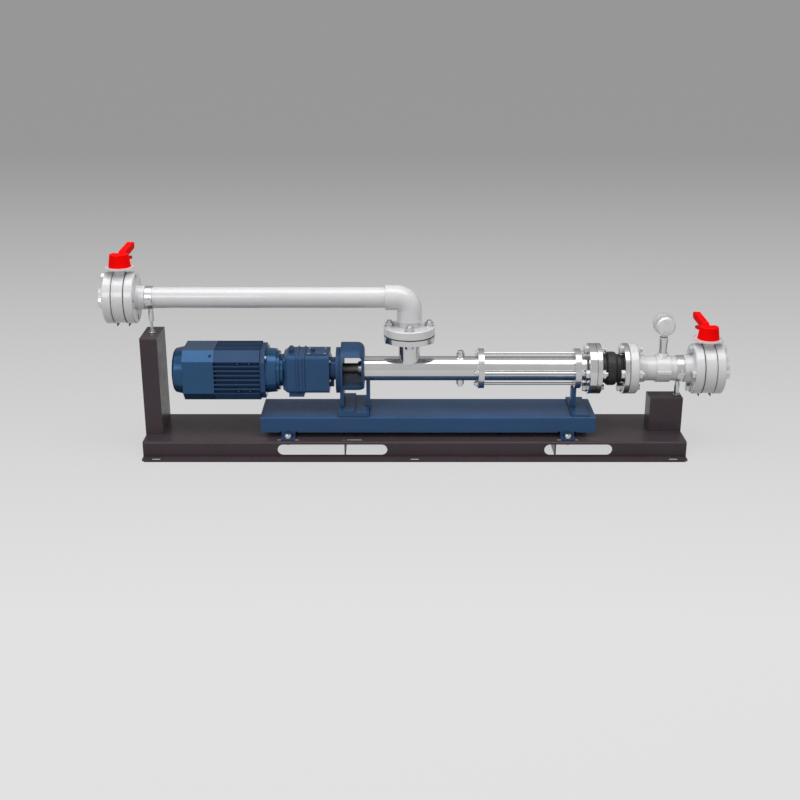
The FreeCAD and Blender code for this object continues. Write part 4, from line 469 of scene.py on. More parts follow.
WELD = Metal("weld_metal", (0.58, 0.58, 0.59), 0.24, lines=(700, 700, 700), line_strength=0.25)
SATIN = Metal("satin_case_steel", (0.72, 0.72, 0.73), 0.48, lines=(900, 900, 900), line_strength=0.05)
TURNED = Metal("turned_plate_steel", (0.62, 0.62, 0.63), 0.20, lines=(2600, 60, 60), line_strength=0.06)
# Painted shade: the drive shaft's steel gets a dark brownish colour that stands in for the shade and dark
# reflections inside the lantern.
SHADED_SHAFT = Metal("shaded_shaft_steel", (0.22, 0.205, 0.19), 0.5, lines=(3000, 80, 80), line_strength=0.12)
COWL = Paint("cowl_blue_paint", (0.029, 0.088, 0.190), 0.24, peel=0.01, coat=0.05, metallic=0.55,
             specular=0.15)
# The barrel's grooves are darkened strongly as painted shade.
BARREL = Paint("barrel_blue_paint", (0.026, 0.066, 0.150), 0.40, peel=0.10, peel_scale=420.0, coat=0.0,
               specular=0.15, grime=0.05)
NODE_FINISHES = {
    "gauge_case": SATIN, "stator_end_plates": TURNED, "bellows_flanges": TURNED, "drive_shaft": SHADED_SHAFT,
    "motor_fan_cowl": COWL, "motor_end_shields": COWL, "motor_housing": BARREL,
}


class Finisher:
    """Keeps one built material for each finish and puts it on nodes and pieces."""

    def __init__(self) -> None:
        """Start with nothing built."""
        self.built: dict[str, bpy.types.Material] = {}

    def material(self, finish: Finish) -> bpy.types.Material:
        """The built material of a finish.

        Args:
            finish: the finish.

        Returns:
            Its material, made on first use.
        """
        if finish.name not in self.built:
            self.built[finish.name] = finish.build()
        return self.built[finish.name]

    def dress_nodes(self, frame: dict) -> None:
        """Give every carried-over node the finish of its slot.
        """
        slots = {entry["node"]: Slot(entry["material_slot"]) for entry in frame["record"]["subparts"]}
        for name, item in frame["nodes"].items():
            material = self.material(NODE_FINISHES.get(name, FINISHES[slots[name]]))
            if not item.material_slots:
                item.data.materials.append(material)
            for slot in item.material_slots:
                slot.material = material


FINISHER = Finisher()


def outline(*points: tuple[float, float]) -> Outline:
    """An outline's (along, radius) points, given in millimetres."""
    return tuple((along * MM, radius * MM) for along, radius in points)


def raised(section: Outline, radius: float) -> Outline:
    """An outline whose heights are over a round surface of some radius."""
    return tuple((along, radius + rise) for along, rise in section)


def hexagon_head(radius: float, height: float, chamfer: float = 0.8 * MM) -> Outline:
    """The outline of a hexagon head whose outer corners are chamfered."""
    slope = radius - chamfer * 1.7
    return (0.0, 0.0), (0.0, radius), (height - chamfer, radius), (height, slope), (height, 0.0)


def middle(node: str) -> Vector:
    """The middle of a node's box."""
    return sum(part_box(node), Vector()) / 2


def basis(axis: Vector) -> Matrix:
    """A rotation that turns local Z onto a direction."""
    return axis.to_track_quat("Z", "Y").to_matrix()


def circle(radius: float, share: float, along: float = 0.0) -> Vector:
    """A local point at a share of a turn about Z."""
    return Vector((radius * math.cos(math.tau * share), radius * math.sin(math.tau * share), along))


def around(radius: float, angle: float, axis: Vector) -> Vector:
    """A point on a circle about an axis through the origin.

    Args:
        radius: the circle's radius.
        angle: the angle in degrees; for an X axis it starts at +Y and rises towards +Z.
        axis: the circle's axis, along X or Z.

    Returns:
        The offset from the circle's centre.
    """
    first, second, _ = circle(radius, angle / 360.0)
    return Vector((first, second, 0.0)) if abs(axis.z) > 0.5 else Vector((0.0, first, second))


class Shape:
    """One piece's mesh, gathered from turnings, rings, swept tubes and threads."""

    def __init__(self) -> None:
        """Start with an empty mesh."""
        self.mesh = bmesh.new()

    def points(self, at: Vector, turn: Matrix, radius: float, count: int, along: float = 0.0) -> list:
        """Points evenly round an axis."""
        spots = [at + turn @ circle(radius, step / count, along) for step in range(count)]
        return [self.mesh.verts.new(spot) for spot in spots]

    def skin(self, rings: list[list], closed: bool) -> None:
        """Join rings of points with faces; a ring of one point is a tip.

        Args:
            rings: the rings, in order.
            closed: whether the last ring joins the first.
        """
        for first, second in zip(rings, rings[1:] + rings[:1] * closed):
            count = max(len(first), len(second))
            if len(first) == len(second):
                second = self.matched(first, second)
            for step in range(count):
                after = (step + 1) % count
                corners = [ring[turn % len(ring)] for ring, turn in
                           ((first, step), (second, step), (second, after), (first, after))]
                self.mesh.faces.new(tuple(dict.fromkeys(corners)))

    @staticmethod
    def matched(first: list, second: list) -> list:
        """A ring's points from the one nearest to another ring's start, so that no face twists.

        Args:
            first: the ring to match.
            second: the ring to reorder.

        Returns:
            The second ring's points in their new order.
        """
        best = min(range(len(first)), key=lambda shift: (first[0].co - second[shift].co).length_squared)
        return second[best:] + second[:best]

    def lathe(self, at: Vector, axis: Vector, section: Outline, segments: int = 20,
              closed: bool = False) -> None:
        """Turn an outline about an axis.

        Args:
            at: the axis's start.
            axis: its direction.
            section: (along, radius) points.
            segments: steps round the axis.
            closed: whether the outline's last point joins its first.
        """
        turn = basis(axis)
        rings = [self.points(at, turn, radius, segments if radius > 0.0 else 1, along)
                 for along, radius in section]
        self.skin(rings, closed)

    def ring(self, at: Vector, axis: Vector, outer: float, inner: float, height: float,
             edge: float = 0.3 * MM) -> None:
        """Add a flat ring with small chamfers, such as a washer.

        Args:
            at: the middle of its first face.
            axis: the way that it rises.
            outer: its outer radius.
            inner: its bore's radius.
            height: its thickness.
            edge: the chamfers' size.
        """
        section = ((0.0, inner), (0.0, outer - edge), (edge, outer), (height - edge, outer),
                   (height, outer - edge), (height, inner))
        self.lathe(at, axis, section, 40, closed=True)

    def bead(self, at: Vector, axis: Vector, radius: float, size: float, ripples: int) -> None:
        """A weld bead round an axis, rippled along its way."""
        points = [at + around(radius, 180.0 * step / ripples, axis) for step in range(ripples * 2)]
        self.tube(points, size, closed=True, ripple=0.16)

    def tube(self, points: Sequence[Vector], radius: float, sides: int = 8, closed: bool = False,
             ripple: float = 0.0) -> None:
        """Sweep a circle along points.

        Args:
            points: the tube's centreline.
            radius: its radius.
            sides: corners of its section.
            closed: whether it joins its own start.
            ripple: the share by which every other section is thinner.
        """
        rings = []
        last = len(points) - 1
        for index, point in enumerate(points):
            before = points[index - 1] if closed or index else point
            after = points[(index + 1) % len(points)] if closed or index < last else point
            size = radius * (1.0 - ripple * (index % 2))
            rings.append(self.points(point, basis(after - before), size, sides))
        self.skin(rings, closed)
        if not closed:
            self.mesh.faces.new(rings[0])
            self.mesh.faces.new(list(reversed(rings[-1])))

    def thread(self, at: Vector, axis: Vector, radius: float, pitch: float, length: float) -> None:
        """Wind a helical thread crest round a rod.

        Args:
            at: where it starts on the rod's axis.
            axis: the rod's direction.
            radius: the crest's distance from the axis.
            pitch: how far one turn rises.
            length: how far the thread runs.
        """
        steps = max(int(length / pitch * 18), 8)
        turn = basis(axis)
        shares = [step / steps for step in range(steps + 1)]
        crest = [at + turn @ circle(radius, share * length / pitch, share * length) for share in shares]
        self.tube(crest, pitch * 0.3, sides=4)

    def piece(self, name: str, slot: Slot, body: str = "frame", finish: Finish | None = None) -> None:
        """Close the mesh into a named object that rides on a body.

        Args:
            name: the piece's name.
            slot: the record slot whose finish it takes when no other finish is given.
            body: the body that it moves with.
            finish: a finish other than the slot's own.
        """
        bmesh.ops.recalc_face_normals(self.mesh, faces=self.mesh.faces)
        for face in self.mesh.faces:
            face.smooth = True
        for line in self.mesh.edges:
            line.smooth = line.is_boundary or line.calc_face_angle(0.0) < SMOOTH_LIMIT
        data = bpy.data.meshes.new(name)
        self.mesh.to_mesh(data)
        self.mesh.free()
        data.materials.append(FINISHER.material(finish or FINISHES[slot]))
        item = bpy.data.objects.new(name, data)
        bpy.context.scene.collection.objects.link(item)
        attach(item, body)
        LOG.info("%s: %d faces on %s", name, len(data.polygons), body)


def turned_piece(name: str, slot: Slot, seats: Iterable[Seat], section: Outline, segments: int = 20,
                 **options: object) -> None:
    """Make one piece of like turnings, such as a set of screws.

    Args:
        name: the piece's name.
        slot: the record slot whose finish it takes when no other finish is given.
        seats: the place and direction of each turning.
        section: the outline that is turned.
        segments: steps round each turning.
        options: the piece's body or finish, where they aren't the usual ones.
    """
    shape = Shape()
    for at, axis in seats:
        shape.lathe(at, axis, section, segments)
    shape.piece(name, slot, **options)


@dataclass(frozen=True)
class Places:
    """Where the set's main lines and faces lie, read from its solids."""

    pump_z: float
    suction_z: float
    motor_z: float
    casing_start: float
    casing_end: float
    plate_end: float
    steel_face: float
    bellows_start: float
    bellows_end: float
    branch_x: float
    branch_top: float
    gauge: Vector

    @classmethod
    def read(cls) -> "Places":
        """Work the places out from the nodes' boxes.

        Returns:
            The places, in metres.
        """
        casing_low, casing_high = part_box("suction_casing")
        plates_low, plates_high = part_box("stator_end_plates")
        bellows_low, bellows_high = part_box("bellows")
        return cls(
            pump_z=middle("stator_tube").z, suction_z=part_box("suction_pipes")[1].z - PIPE_RADIUS,
            motor_z=middle("motor_fan_cowl").z, casing_start=casing_low.x, casing_end=plates_low.x,
            plate_end=plates_high.x, steel_face=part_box("discharge_nozzle")[1].x,
            bellows_start=bellows_low.x, bellows_end=bellows_high.x,
            branch_x=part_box("suction_elbow")[1].x - SOCKET_RADIUS, branch_top=casing_high.z,
            gauge=middle("gauge_window"),
        )

    def on_pump_line(self, x: float) -> Vector:
        """The pump line's point at an X."""
        return Vector((x, 0.0, self.pump_z))

    def on_suction_line(self, x: float) -> Vector:
        """The upper pipe line's point at an X."""
        return Vector((x, 0.0, self.suction_z))

    def on_motor_line(self, x: float) -> Vector:
        """The motor line's point at an X."""
        return Vector((x, 0.0, self.motor_z))


@dataclass
class Studio:
    """The camera at the photo's viewing angle, the pale floor, the soft lights and the sky."""

    camera_at: Point = (-0.04417, -3.53399, 1.40142)
    camera_tilt: float = 70.3593
    camera_lens: float = 54.7616
    camera_sensor: float = 36.0
    camera_reach: float = 200.0
    key_size: tuple[float, float] = (3.6, 1.5)
    key_at: Point = (0.0, -0.35, 2.6)
    key_aim: Point = (0.1, 0.0, 0.3)
    key_power: float = 44.0
    fill_size: tuple[float, float] = (2.6, 1.6)
    fill_at: Point = (-2.2, -3.8, 2.4)
    fill_aim: Point = (0.0, 0.0, 0.25)
    fill_power: float = 40.0
    floor_half: float = 60.0
    floor_drop: float = 0.5 * MM
    floor_near: float = -1.1
    floor_far: float = 6.5
    floor_falloff: float = 1.74
    floor_levels: tuple[float, float] = (0.471, 0.305)
    floor_glow: float = 0.865
    floor_lit: float = 0.088
    floor_unseen: float = 0.30
    sky_lighting: Outline = ((0.0, 0.85), (0.5, 0.45), (1.0, 0.30))
    sky_mirrored: Outline = ((0.0, 0.62), (0.5, 0.70), (0.85, 0.50), (1.0, 0.30))
    sky_seen: Outline = ((0.0, 0.80), (0.49, 0.78), (0.5, 0.66), (0.55, 0.35), (1.0, 0.35))

    def build(self) -> None:
        """Make the whole studio."""
        self.camera()
        self.lamp("key_softbox", self.key_at, self.key_size, self.key_power, self.key_aim)
        self.lamp("fill_softbox", self.fill_at, self.fill_size, self.fill_power, self.fill_aim)
        self.floor()
        self.sky()
        bpy.context.scene.view_settings.view_transform = "Standard"

    def camera(self) -> None:
        """Place the camera where the photo was taken from."""
        data = bpy.data.cameras.new("photo_camera")
        data.lens = self.camera_lens
        data.sensor_width = self.camera_sensor
        data.clip_end = self.camera_reach
        item = bpy.data.objects.new("photo_camera", data)
        item.location = self.camera_at
        item.rotation_euler = (math.radians(self.camera_tilt), 0.0, 0.0)
        bpy.context.scene.collection.objects.link(item)
        bpy.context.scene.camera = item

    @staticmethod
    def lamp(name: str, at: Point, size: tuple[float, float], power: float, aim: Point) -> None:
        """Add one soft area lamp.

        Args:
            name: the lamp's name.
            at: its place.
            size: its two sides.
            power: its power in watts.
            aim: the point that it faces.
        """
        data = bpy.data.lights.new(name, "AREA")
        data.shape = "RECTANGLE"
        data.size, data.size_y = size
        data.energy = power
        item = bpy.data.objects.new(name, data)
        item.location = at
        item.rotation_euler = (Vector(aim) - Vector(at)).to_track_quat("-Z", "Y").to_euler()
        bpy.context.scene.collection.objects.link(item)

    def floor(self) -> None:
        """Lay the pale floor, which falls off in tone with the distance as a lit backdrop does."""
        data = bpy.data.meshes.new("studio_floor")
        half = self.floor_half
        sheet = [(-half, -half, 0.0), (half, -half, 0.0), (half, half, 0.0), (-half, half, 0.0)]
        data.from_pydata(sheet, [], [(0, 1, 2, 3)])
        item = bpy.data.objects.new("studio_floor", data)
        item.location.z = -self.floor_drop
        bpy.context.scene.collection.objects.link(item)
        graph = Graph(bpy.data.materials.new("studio_floor"))
        depth = graph.add("SeparateXYZ", graph.coords["Object"]).outputs["Y"]
        nearness = graph.ranged(depth, low=1.0, high=0.05, start=self.floor_near, end=self.floor_far)
        falloff = graph.add("Math", nearness, self.floor_falloff, operation="POWER")
        tone = graph.add("Math", falloff, *self.floor_levels, operation="MULTIPLY_ADD")
        glow = graph.add("Emission", tone, self.floor_glow)
        lit, unseen = (graph.add("BsdfDiffuse", (level, level, level, 1.0))
                       for level in (self.floor_lit, self.floor_unseen))
        path = graph.add("LightPath").outputs
        direct = graph.add("Math", path["Is Camera Ray"], path["Is Glossy Ray"], operation="MAXIMUM")
        shown = graph.add("Math", direct, path["Is Transmission Ray"], operation="MAXIMUM")
        graph.end(graph.add("MixShader", shown, unseen, graph.add("AddShader", glow, lit)))
        data.materials.append(graph.owner)

    def sky(self) -> None:
        """Give the sky a plain level, brighter in front, with other tones for reflections and the view."""
        graph = Graph(bpy.data.worlds.new("studio_sky"))
        bpy.context.scene.world = graph.owner
        front_to_back = graph.add("SeparateXYZ", graph.coords["Generated"]).outputs["Y"]
        way = graph.ranged(front_to_back, low=0.0, high=1.0, start=-1.0, end=1.0)
        lighting, mirrored, seen = (graph.add("Background", graph.ramp(way, *stops))
                                    for stops in (self.sky_lighting, self.sky_mirrored, self.sky_seen))
        path = graph.add("LightPath").outputs
        unseen = graph.add("MixShader", path["Is Glossy Ray"], lighting, mirrored)
        graph.end(graph.add("MixShader", path["Is Camera Ray"], unseen, seen), "OutputWorld")


@dataclass
class SkidDetails:
    """The skid's weld beads and the trims of its base bolts."""

    places: Places
    bead: float = 1.6 * MM
    bead_step: float = 2.2 * MM
    bolt_inset: float = 10 * MM
    bolt_reach: float = 101.5 * MM
    crown: Outline = outline((-5.5, 10.0), (-5.5, 11.2), (2.6, 11.0), (4.6, 9.6), (5.6, 6.5), (5.9, 0.0))

    def build(self) -> None:
        """Add all of the skid's fine pieces."""
        for node in ("tall_post", "short_post"):
            self.post_weld(f"{node}_weld", *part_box(node))
        self.bolt_trims()

    def post_weld(self, name: str, low: Vector, high: Vector) -> None:
        """Lay a weld bead round a post's foot, save where the post ends with the tray.

        Args:
            name: the piece's name.
            low: the post's lowest corner.
            high: its highest corner.
        """
        shape = Shape()
        tray_end = abs(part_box("skid_tray")[0].x)
        corners = [Vector((x, y, TRAY_TOP)) for x, y in
                   ((low.x, low.y), (high.x, low.y), (high.x, high.y), (low.x, high.y))]
        for start, end in zip(corners, corners[1:] + corners[:1]):
            if abs(start.x - end.x) < MM and abs(abs(start.x) - tray_end) < MM:
                continue
            steps = max(int((end - start).length / self.bead_step), 2)
            line = [start.lerp(end, step / steps) for step in range(steps + 1)]
            shape.tube(line, self.bead, sides=6, ripple=0.2)
        shape.piece(name, Slot.TRAY)

    def bolt_trims(self) -> None:
        """Put a crowned head and a thread end on each base bolt."""
        low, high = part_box("base_bolts")
        spots = [(x, self.bolt_reach * side) for x in (low.x + self.bolt_inset, high.x - self.bolt_inset)
                 for side in SIDES]
        heads = [(Vector((x, y, high.z)), UP) for x, y in spots]
        turned_piece("base_bolt_crowns", Slot.ZINC, heads, self.crown, 32)
        threads = Shape()
        for x, y in spots:
            threads.thread(Vector((x, y, low.z)), UP, radius=4.9 * MM, pitch=1.5 * MM, length=3.0 * MM)
        threads.piece("base_bolt_threads", Slot.ZINC)


@dataclass
class MotorDetails:
    """The motor's intake grille, screws, barrel bosses and the terminal box's seam."""

    places: Places
    grille_rings: int = 7
    grille_inner: float = 10 * MM
    grille_outer: float = 52 * MM
    grille_bar: float = 1.3 * MM
    grille_height: float = 1.5 * MM
    spokes: int = 8
    spoke_radius: float = 1.1 * MM
    spoke_rise: float = 0.9 * MM
    spoke_overrun: float = 4 * MM
    intake: Outline = outline((-0.2, 56.0), (0.25, 55.0), (0.25, 0.0))
    hub: Outline = outline((0.0, 11.0), (1.6, 10.0), (2.0, 0.0))
    facet: float = 64.0 * MM
    cowl_screw_x: float = -613 * MM
    cowl_screw: Outline = outline((0.0, 3.4), (1.8, 3.2), (2.4, 2.0), (2.4, 0.0))
    boss_xs: tuple[float, float] = (-530 * MM, -495 * MM)
    boss_groove: float = 14.3 * MM * 3
    boss_depth: float = 69 * MM
    boss: Outline = outline((0.0, 4.2), (6.5, 3.6), (7.5, 2.6), (7.5, 0.0))
    flange_circle: float = 80 * MM
    lid_half: float = 40 * MM
    lid_inset: float = 7 * MM
    lid_screw_z: float = 36 * MM
    lid_thick: float = 8 * MM
    lid_screw: Outline = outline((-1.0, 3.6), (0.2, 3.4), (0.45, 0.0))

    def build(self) -> None:
        """Add all of the motor's fine pieces."""
        self.grille()
        self.cowl_screws()
        self.barrel_bosses()
        self.flange_screws()
        self.terminal_box()

    def grille(self) -> None:
        """Make the fan cowl's round intake grille on its flat end."""
        centre = self.places.on_motor_line(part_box("motor_fan_cowl")[0].x)
        turned_piece("cowl_intake_shadow", Slot.BLUE, [(centre, -ALONG)], self.intake, 64, finish=SHADOW)
        bars = Shape()
        gap = (self.grille_outer - self.grille_inner) / (self.grille_rings - 1)
        for index in range(self.grille_rings):
            radius = self.grille_inner + gap * index
            outer, inner = radius + self.grille_bar, radius - self.grille_bar
            bars.ring(centre, -ALONG, outer, inner, self.grille_height)
        for index in range(self.spokes):
            ends = [centre + around(radius, 360.0 / self.spokes * index, ALONG) - ALONG * self.spoke_rise
                    for radius in (self.grille_inner, self.grille_outer + self.spoke_overrun)]
            bars.tube(ends, self.spoke_radius, sides=6)
        bars.lathe(centre, -ALONG, self.hub, 32)
        bars.piece("cowl_intake_grille", Slot.BLUE)

    def cowl_screws(self) -> None:
        """Put a flat screw with a washer on each slanting face of the cowl."""
        screws = Shape()
        for angle in DIAGONALS:
            out = around(1.0, angle, ALONG)
            at = self.places.on_motor_line(self.cowl_screw_x) + out * (self.facet * math.sqrt(2.0))
            screws.ring(at, out, outer=4.6 * MM, inner=1.0 * MM, height=0.8 * MM)
            screws.lathe(at, out, self.cowl_screw, 24)
        screws.piece("cowl_screws", Slot.BLUE, finish=SHADOW)

    def barrel_bosses(self) -> None:
        """Set small screw bosses in the first and last grooves of the barrel's front and rear."""
        seats = []
        for side in SIDES:
            for x in self.boss_xs:
                for rise in (-self.boss_groove, self.boss_groove):
                    at = self.places.on_motor_line(x) + ACROSS * (self.boss_depth * side) + UP * rise
                    seats.append((at, ACROSS * side))
        turned_piece("barrel_bosses", Slot.BLUE, seats, self.boss)

    def flange_screws(self) -> None:
        """Put four hexagon screws through the motor's drive-end flange."""
        centre = self.places.on_motor_line(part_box("motor_housing")[1].x)
        seats = [(centre + around(self.flange_circle, angle, ALONG), ALONG) for angle in DIAGONALS]
        turned_piece("motor_flange_screws", Slot.ZINC, seats, hexagon_head(6.6 * MM, 5.0 * MM), 6)

    def terminal_box(self) -> None:
        """Put four screws on the terminal box's lid and a gasket round its seam."""
        low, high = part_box("motor_terminal_box")
        seats = [(Vector((x, high.y - 0.5 * MM, self.places.motor_z + self.lid_screw_z * row)), ACROSS)
                 for x in (low.x + self.lid_inset, high.x - self.lid_inset) for row in SIDES]
        turned_piece("terminal_lid_screws", Slot.ZINC, seats, self.lid_screw)
        y = high.y - self.lid_thick
        loop = [Vector((x, y, self.places.motor_z + self.lid_half * row)) for x, row in
                ((low.x, -1), (high.x, -1), (high.x, 1), (low.x, 1), (low.x, -1))]
        seam = Shape()
        for ends in zip(loop, loop[1:]):
            seam.tube(ends, 0.7 * MM, sides=6)
        seam.piece("terminal_lid_gasket", Slot.RUBBER)


@dataclass
class GearboxDetails:
    """The screws of the gearbox's cover, output face and lid."""

    places: Places
    cover_ys: tuple[float, float] = (-38 * MM, 48 * MM)
    cover_zs: tuple[float, float] = (-46 * MM, 44 * MM)
    cover_face: float = 9 * MM
    collar: float = 20 * MM
    collar_circle: float = 43 * MM
    lid_xs: tuple[float, float] = (79 * MM, 128 * MM)
    lid_half: float = 28 * MM
    lid_rise: float = 60.5 * MM
    lid_screw: Outline = outline((-1.0, 3.8), (1.4, 3.6), (2.0, 2.4), (2.0, 0.0))

    def build(self) -> None:
        """Add all of the gearbox's fine pieces."""
        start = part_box("gearbox_input_cover")[0].x
        motor_z = self.places.motor_z
        cover = [(Vector((start + self.cover_face, y, motor_z + z)), -ALONG) for y in self.cover_ys
                 for z in self.cover_zs]
        turned_piece("gearbox_cover_screws", Slot.ZINC, cover, hexagon_head(6.5 * MM, 5.0 * MM), 6)
        face = self.places.on_pump_line(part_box("lantern")[0].x - self.collar)
        output = [(face + around(self.collar_circle, angle, ALONG), ALONG) for angle in DIAGONALS]
        turned_piece("gearbox_output_screws", Slot.ZINC, output, hexagon_head(6.0 * MM, 4.5 * MM), 6)
        lid = [(Vector((start + x, self.lid_half * side, motor_z + self.lid_rise)), UP) for x in self.lid_xs
               for side in SIDES]
        turned_piece("gearbox_lid_screws", Slot.ZINC, lid, self.lid_screw)


@dataclass
class PumpDetails:
    """Weld beads, threads, washers and collar ridges along the pump's line."""

    places: Places
    casing_radius: float = 37.5 * MM
    branch_radius: float = 32.5 * MM
    bead: float = 1.1 * MM
    saddle_steps: int = 120
    tie_pitch: float = 49 * MM
    tie_end: float = 3 * MM
    ridges: Outline = ((0.06, 43.0 * MM), (0.12, 43.5 * MM), (0.84, 44.0 * MM), (0.90, 43.0 * MM))
    ridge: Outline = outline((-1.0, -0.6), (-0.5, 0.5), (0.5, 0.5), (1.0, -0.6))

    def build(self) -> None:
        """Add all of the pump's fine pieces."""
        self.line_welds()
        self.branch_weld()
        self.tie_rod_ends()
        self.bellows_ridges()

    def line_welds(self) -> None:
        """Lay the beads round the casing, the plates and the branch's flange."""
        welds = Shape()
        for x in (self.places.casing_start, self.places.casing_end, self.places.plate_end):
            welds.bead(self.places.on_pump_line(x), ALONG, self.casing_radius, self.bead, 60)
        under_flange = Vector((self.places.branch_x, 0.0, self.places.branch_top - STEEL_FLANGE))
        welds.bead(under_flange, UP, self.branch_radius, self.bead, 56)
        welds.piece("casing_welds", Slot.STAINLESS, finish=WELD)

    def branch_weld(self) -> None:
        """Lay the saddle-shaped bead where the upright branch meets the casing."""
        points = []
        for step in range(self.saddle_steps):
            off = circle(self.branch_radius, step / self.saddle_steps)
            off.z = math.sqrt(self.casing_radius ** 2 - off.y ** 2)
            points.append(self.places.on_pump_line(self.places.branch_x) + off)
        weld = Shape()
        weld.tube(points, self.bead, closed=True, ripple=0.16)
        weld.piece("branch_saddle_weld", Slot.STAINLESS, finish=WELD)

    def tie_rod_ends(self) -> None:
        """Thread the tie rods' ends and put a washer under each of their nuts."""
        low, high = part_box("tie_rods")
        threads = Shape()
        washers = Shape()
        for angle in QUARTERS:
            off = around(self.tie_pitch, angle, ALONG)
            for x in (low.x, high.x - self.tie_end):
                start = self.places.on_pump_line(x) + off
                threads.thread(start, ALONG, radius=4.4 * MM, pitch=1.25 * MM, length=self.tie_end)
            for x, out in ((self.places.casing_end, -ALONG), (self.places.plate_end, ALONG)):
                seat = self.places.on_pump_line(x) + off
                washers.ring(seat, out, outer=9.6 * MM, inner=5 * MM, height=1.6 * MM)
        threads.piece("tie_rod_threads", Slot.STAINLESS)
        washers.piece("tie_rod_washers", Slot.ZINC)

    def bellows_ridges(self) -> None:
        """Mould thin ridges round the bellows' collars."""
        shape = Shape()
        length = self.places.bellows_end - self.places.bellows_start
        for share, radius in self.ridges:
            centre = self.places.on_pump_line(self.places.bellows_start + length * share)
            shape.lathe(centre, ALONG, raised(self.ridge, radius), 72)
        shape.piece("bellows_ridges", Slot.RUBBER)


@dataclass
class Stack:
    """One ring of four bolts through flanges, by the outer faces of the stack along its axis."""

    centre: Vector
    axis: Vector
    head_face: float
    nut_face: float | None = None


@dataclass
class FlangeBolting:
    """Washers, head crowns and thread ends of the flange bolts."""

    places: Places
    pitch: float = 60 * MM
    nozzle_flange: float = 24 * MM
    loose_flange: float = 14 * MM
    stub_flange: float = 28.5 * MM
    open_stub: float = 20 * MM
    washer: float = 15 * MM
    washer_thick: float = 2.2 * MM
    head_height: float = 11 * MM
    shank: float = 8 * MM
    crown: Outline = outline((-0.2, 11.4), (0.8, 10.0), (0.8, 0.0))

    def stacks(self) -> list[Stack]:
        """The bolted stacks of the set.

        Returns:
            One entry for each ring of four bolts; those without a nut face end in a valve's body.
        """
        places = self.places
        pump = places.on_pump_line(0.0)
        stubs_low, stubs_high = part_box("outer_pipe_flanges")
        bellows_nuts = places.bellows_end + self.loose_flange + self.stub_flange
        return [
            Stack(Vector((places.branch_x, 0.0, 0.0)), UP, places.branch_top - STEEL_FLANGE,
                  places.branch_top + self.stub_flange),
            Stack(pump, ALONG, places.steel_face - self.nozzle_flange,
                  places.steel_face + self.loose_flange),
            Stack(pump, ALONG, places.bellows_end, bellows_nuts),
            Stack(places.on_suction_line(0.0), ALONG, stubs_low.x + self.open_stub),
            Stack(pump, ALONG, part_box("discharge_valve_body")[0].x - self.stub_flange),
            Stack(pump, -ALONG, self.open_stub - stubs_high.x),
        ]

    def build(self) -> None:
        """Add the trims of every stack."""
        washers = Shape()
        threads = Shape()
        heads = []
        for stack in self.stacks():
            for angle in QUARTERS:
                base = stack.centre + around(self.pitch, angle, stack.axis)
                head = base + stack.axis * stack.head_face
                washers.ring(head, -stack.axis, self.washer, self.shank, self.washer_thick)
                heads.append((head - stack.axis * self.head_height, -stack.axis))
                if stack.nut_face is None:
                    continue
                nut = base + stack.axis * stack.nut_face
                washers.ring(nut, stack.axis, self.washer, self.shank, self.washer_thick)
                end = nut + stack.axis * self.head_height
                threads.thread(end, stack.axis, self.shank - 0.1 * MM, pitch=2.0 * MM, length=5.4 * MM)
        washers.piece("flange_washers", Slot.ZINC)
        turned_piece("flange_bolt_crowns", Slot.ZINC, heads, self.crown, 28)
        threads.piece("flange_bolt_threads", Slot.ZINC)


@dataclass
class PipeworkDetails:
    """The elbow's socket rims and parting line, and the clamp rods' threads."""

    places: Places
    elbow_reach: float = 72 * MM
    line_start: float = 4 * MM
    line_radius: float = 0.35 * MM
    bend: float = SOCKET_RADIUS + 1.5 * MM
    bend_steps: int = 40
    rim: Outline = outline((0.0, -5.5), (-0.3, -0.6), (0.6, 0.35), (3.0, 0.35), (3.6, -0.3))
    clamp_xs: tuple[float, float] = (-793 * MM, 806 * MM)
    clamp_bores: tuple[float, float] = (31.8 * MM, 37.8 * MM)
    band: float = 3 * MM
    lug: float = 12 * MM
    coupling_nut: float = 26 * MM
    foot_nut: float = 8 * MM

    def build(self) -> None:
        """Add all of the pipework's fine pieces."""
        self.elbow_trim()
        self.clamp_trim()

    def elbow_trim(self) -> None:
        """Round the elbow's two socket mouths and run its parting line."""
        rims = Shape()
        corner = self.places.on_suction_line(self.places.branch_x)
        level = corner - ALONG * self.elbow_reach
        upright = corner - UP * self.elbow_reach
        for mouth, axis in ((level, ALONG), (upright, UP)):
            rims.lathe(mouth, axis, raised(self.rim, SOCKET_RADIUS), 72)
        centre = corner - (ALONG + UP) * self.bend
        reach = self.bend + SOCKET_RADIUS
        line = [level + ALONG * self.line_start + UP * SOCKET_RADIUS]
        for step in range(self.bend_steps + 1):
            turn = math.pi / 2 * (1 - step / self.bend_steps)
            line.append(centre + Vector((math.cos(turn), 0.0, math.sin(turn))) * reach)
        line.append(upright + UP * self.line_start + ALONG * SOCKET_RADIUS)
        rims.tube(line, self.line_radius, sides=6)
        rims.piece("elbow_rims", Slot.PIPE)

    def clamp_trim(self) -> None:
        """Thread the clamp rods between their foot nuts and coupling nuts."""
        threads = Shape()
        lines = zip(("tall_post", "short_post"), self.clamp_xs, (self.places.suction_z, self.places.pump_z),
                    self.clamp_bores)
        for post, x, pipe_z, bore in lines:
            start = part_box(post)[1].z + self.foot_nut
            length = pipe_z - bore - self.band - self.lug - self.coupling_nut - start
            if length > 2 * MM:
                threads.thread(Vector((x, 0.0, start)), UP, radius=3.9 * MM, pitch=1.25 * MM, length=length)
        threads.piece("clamp_rod_threads", Slot.ZINC)


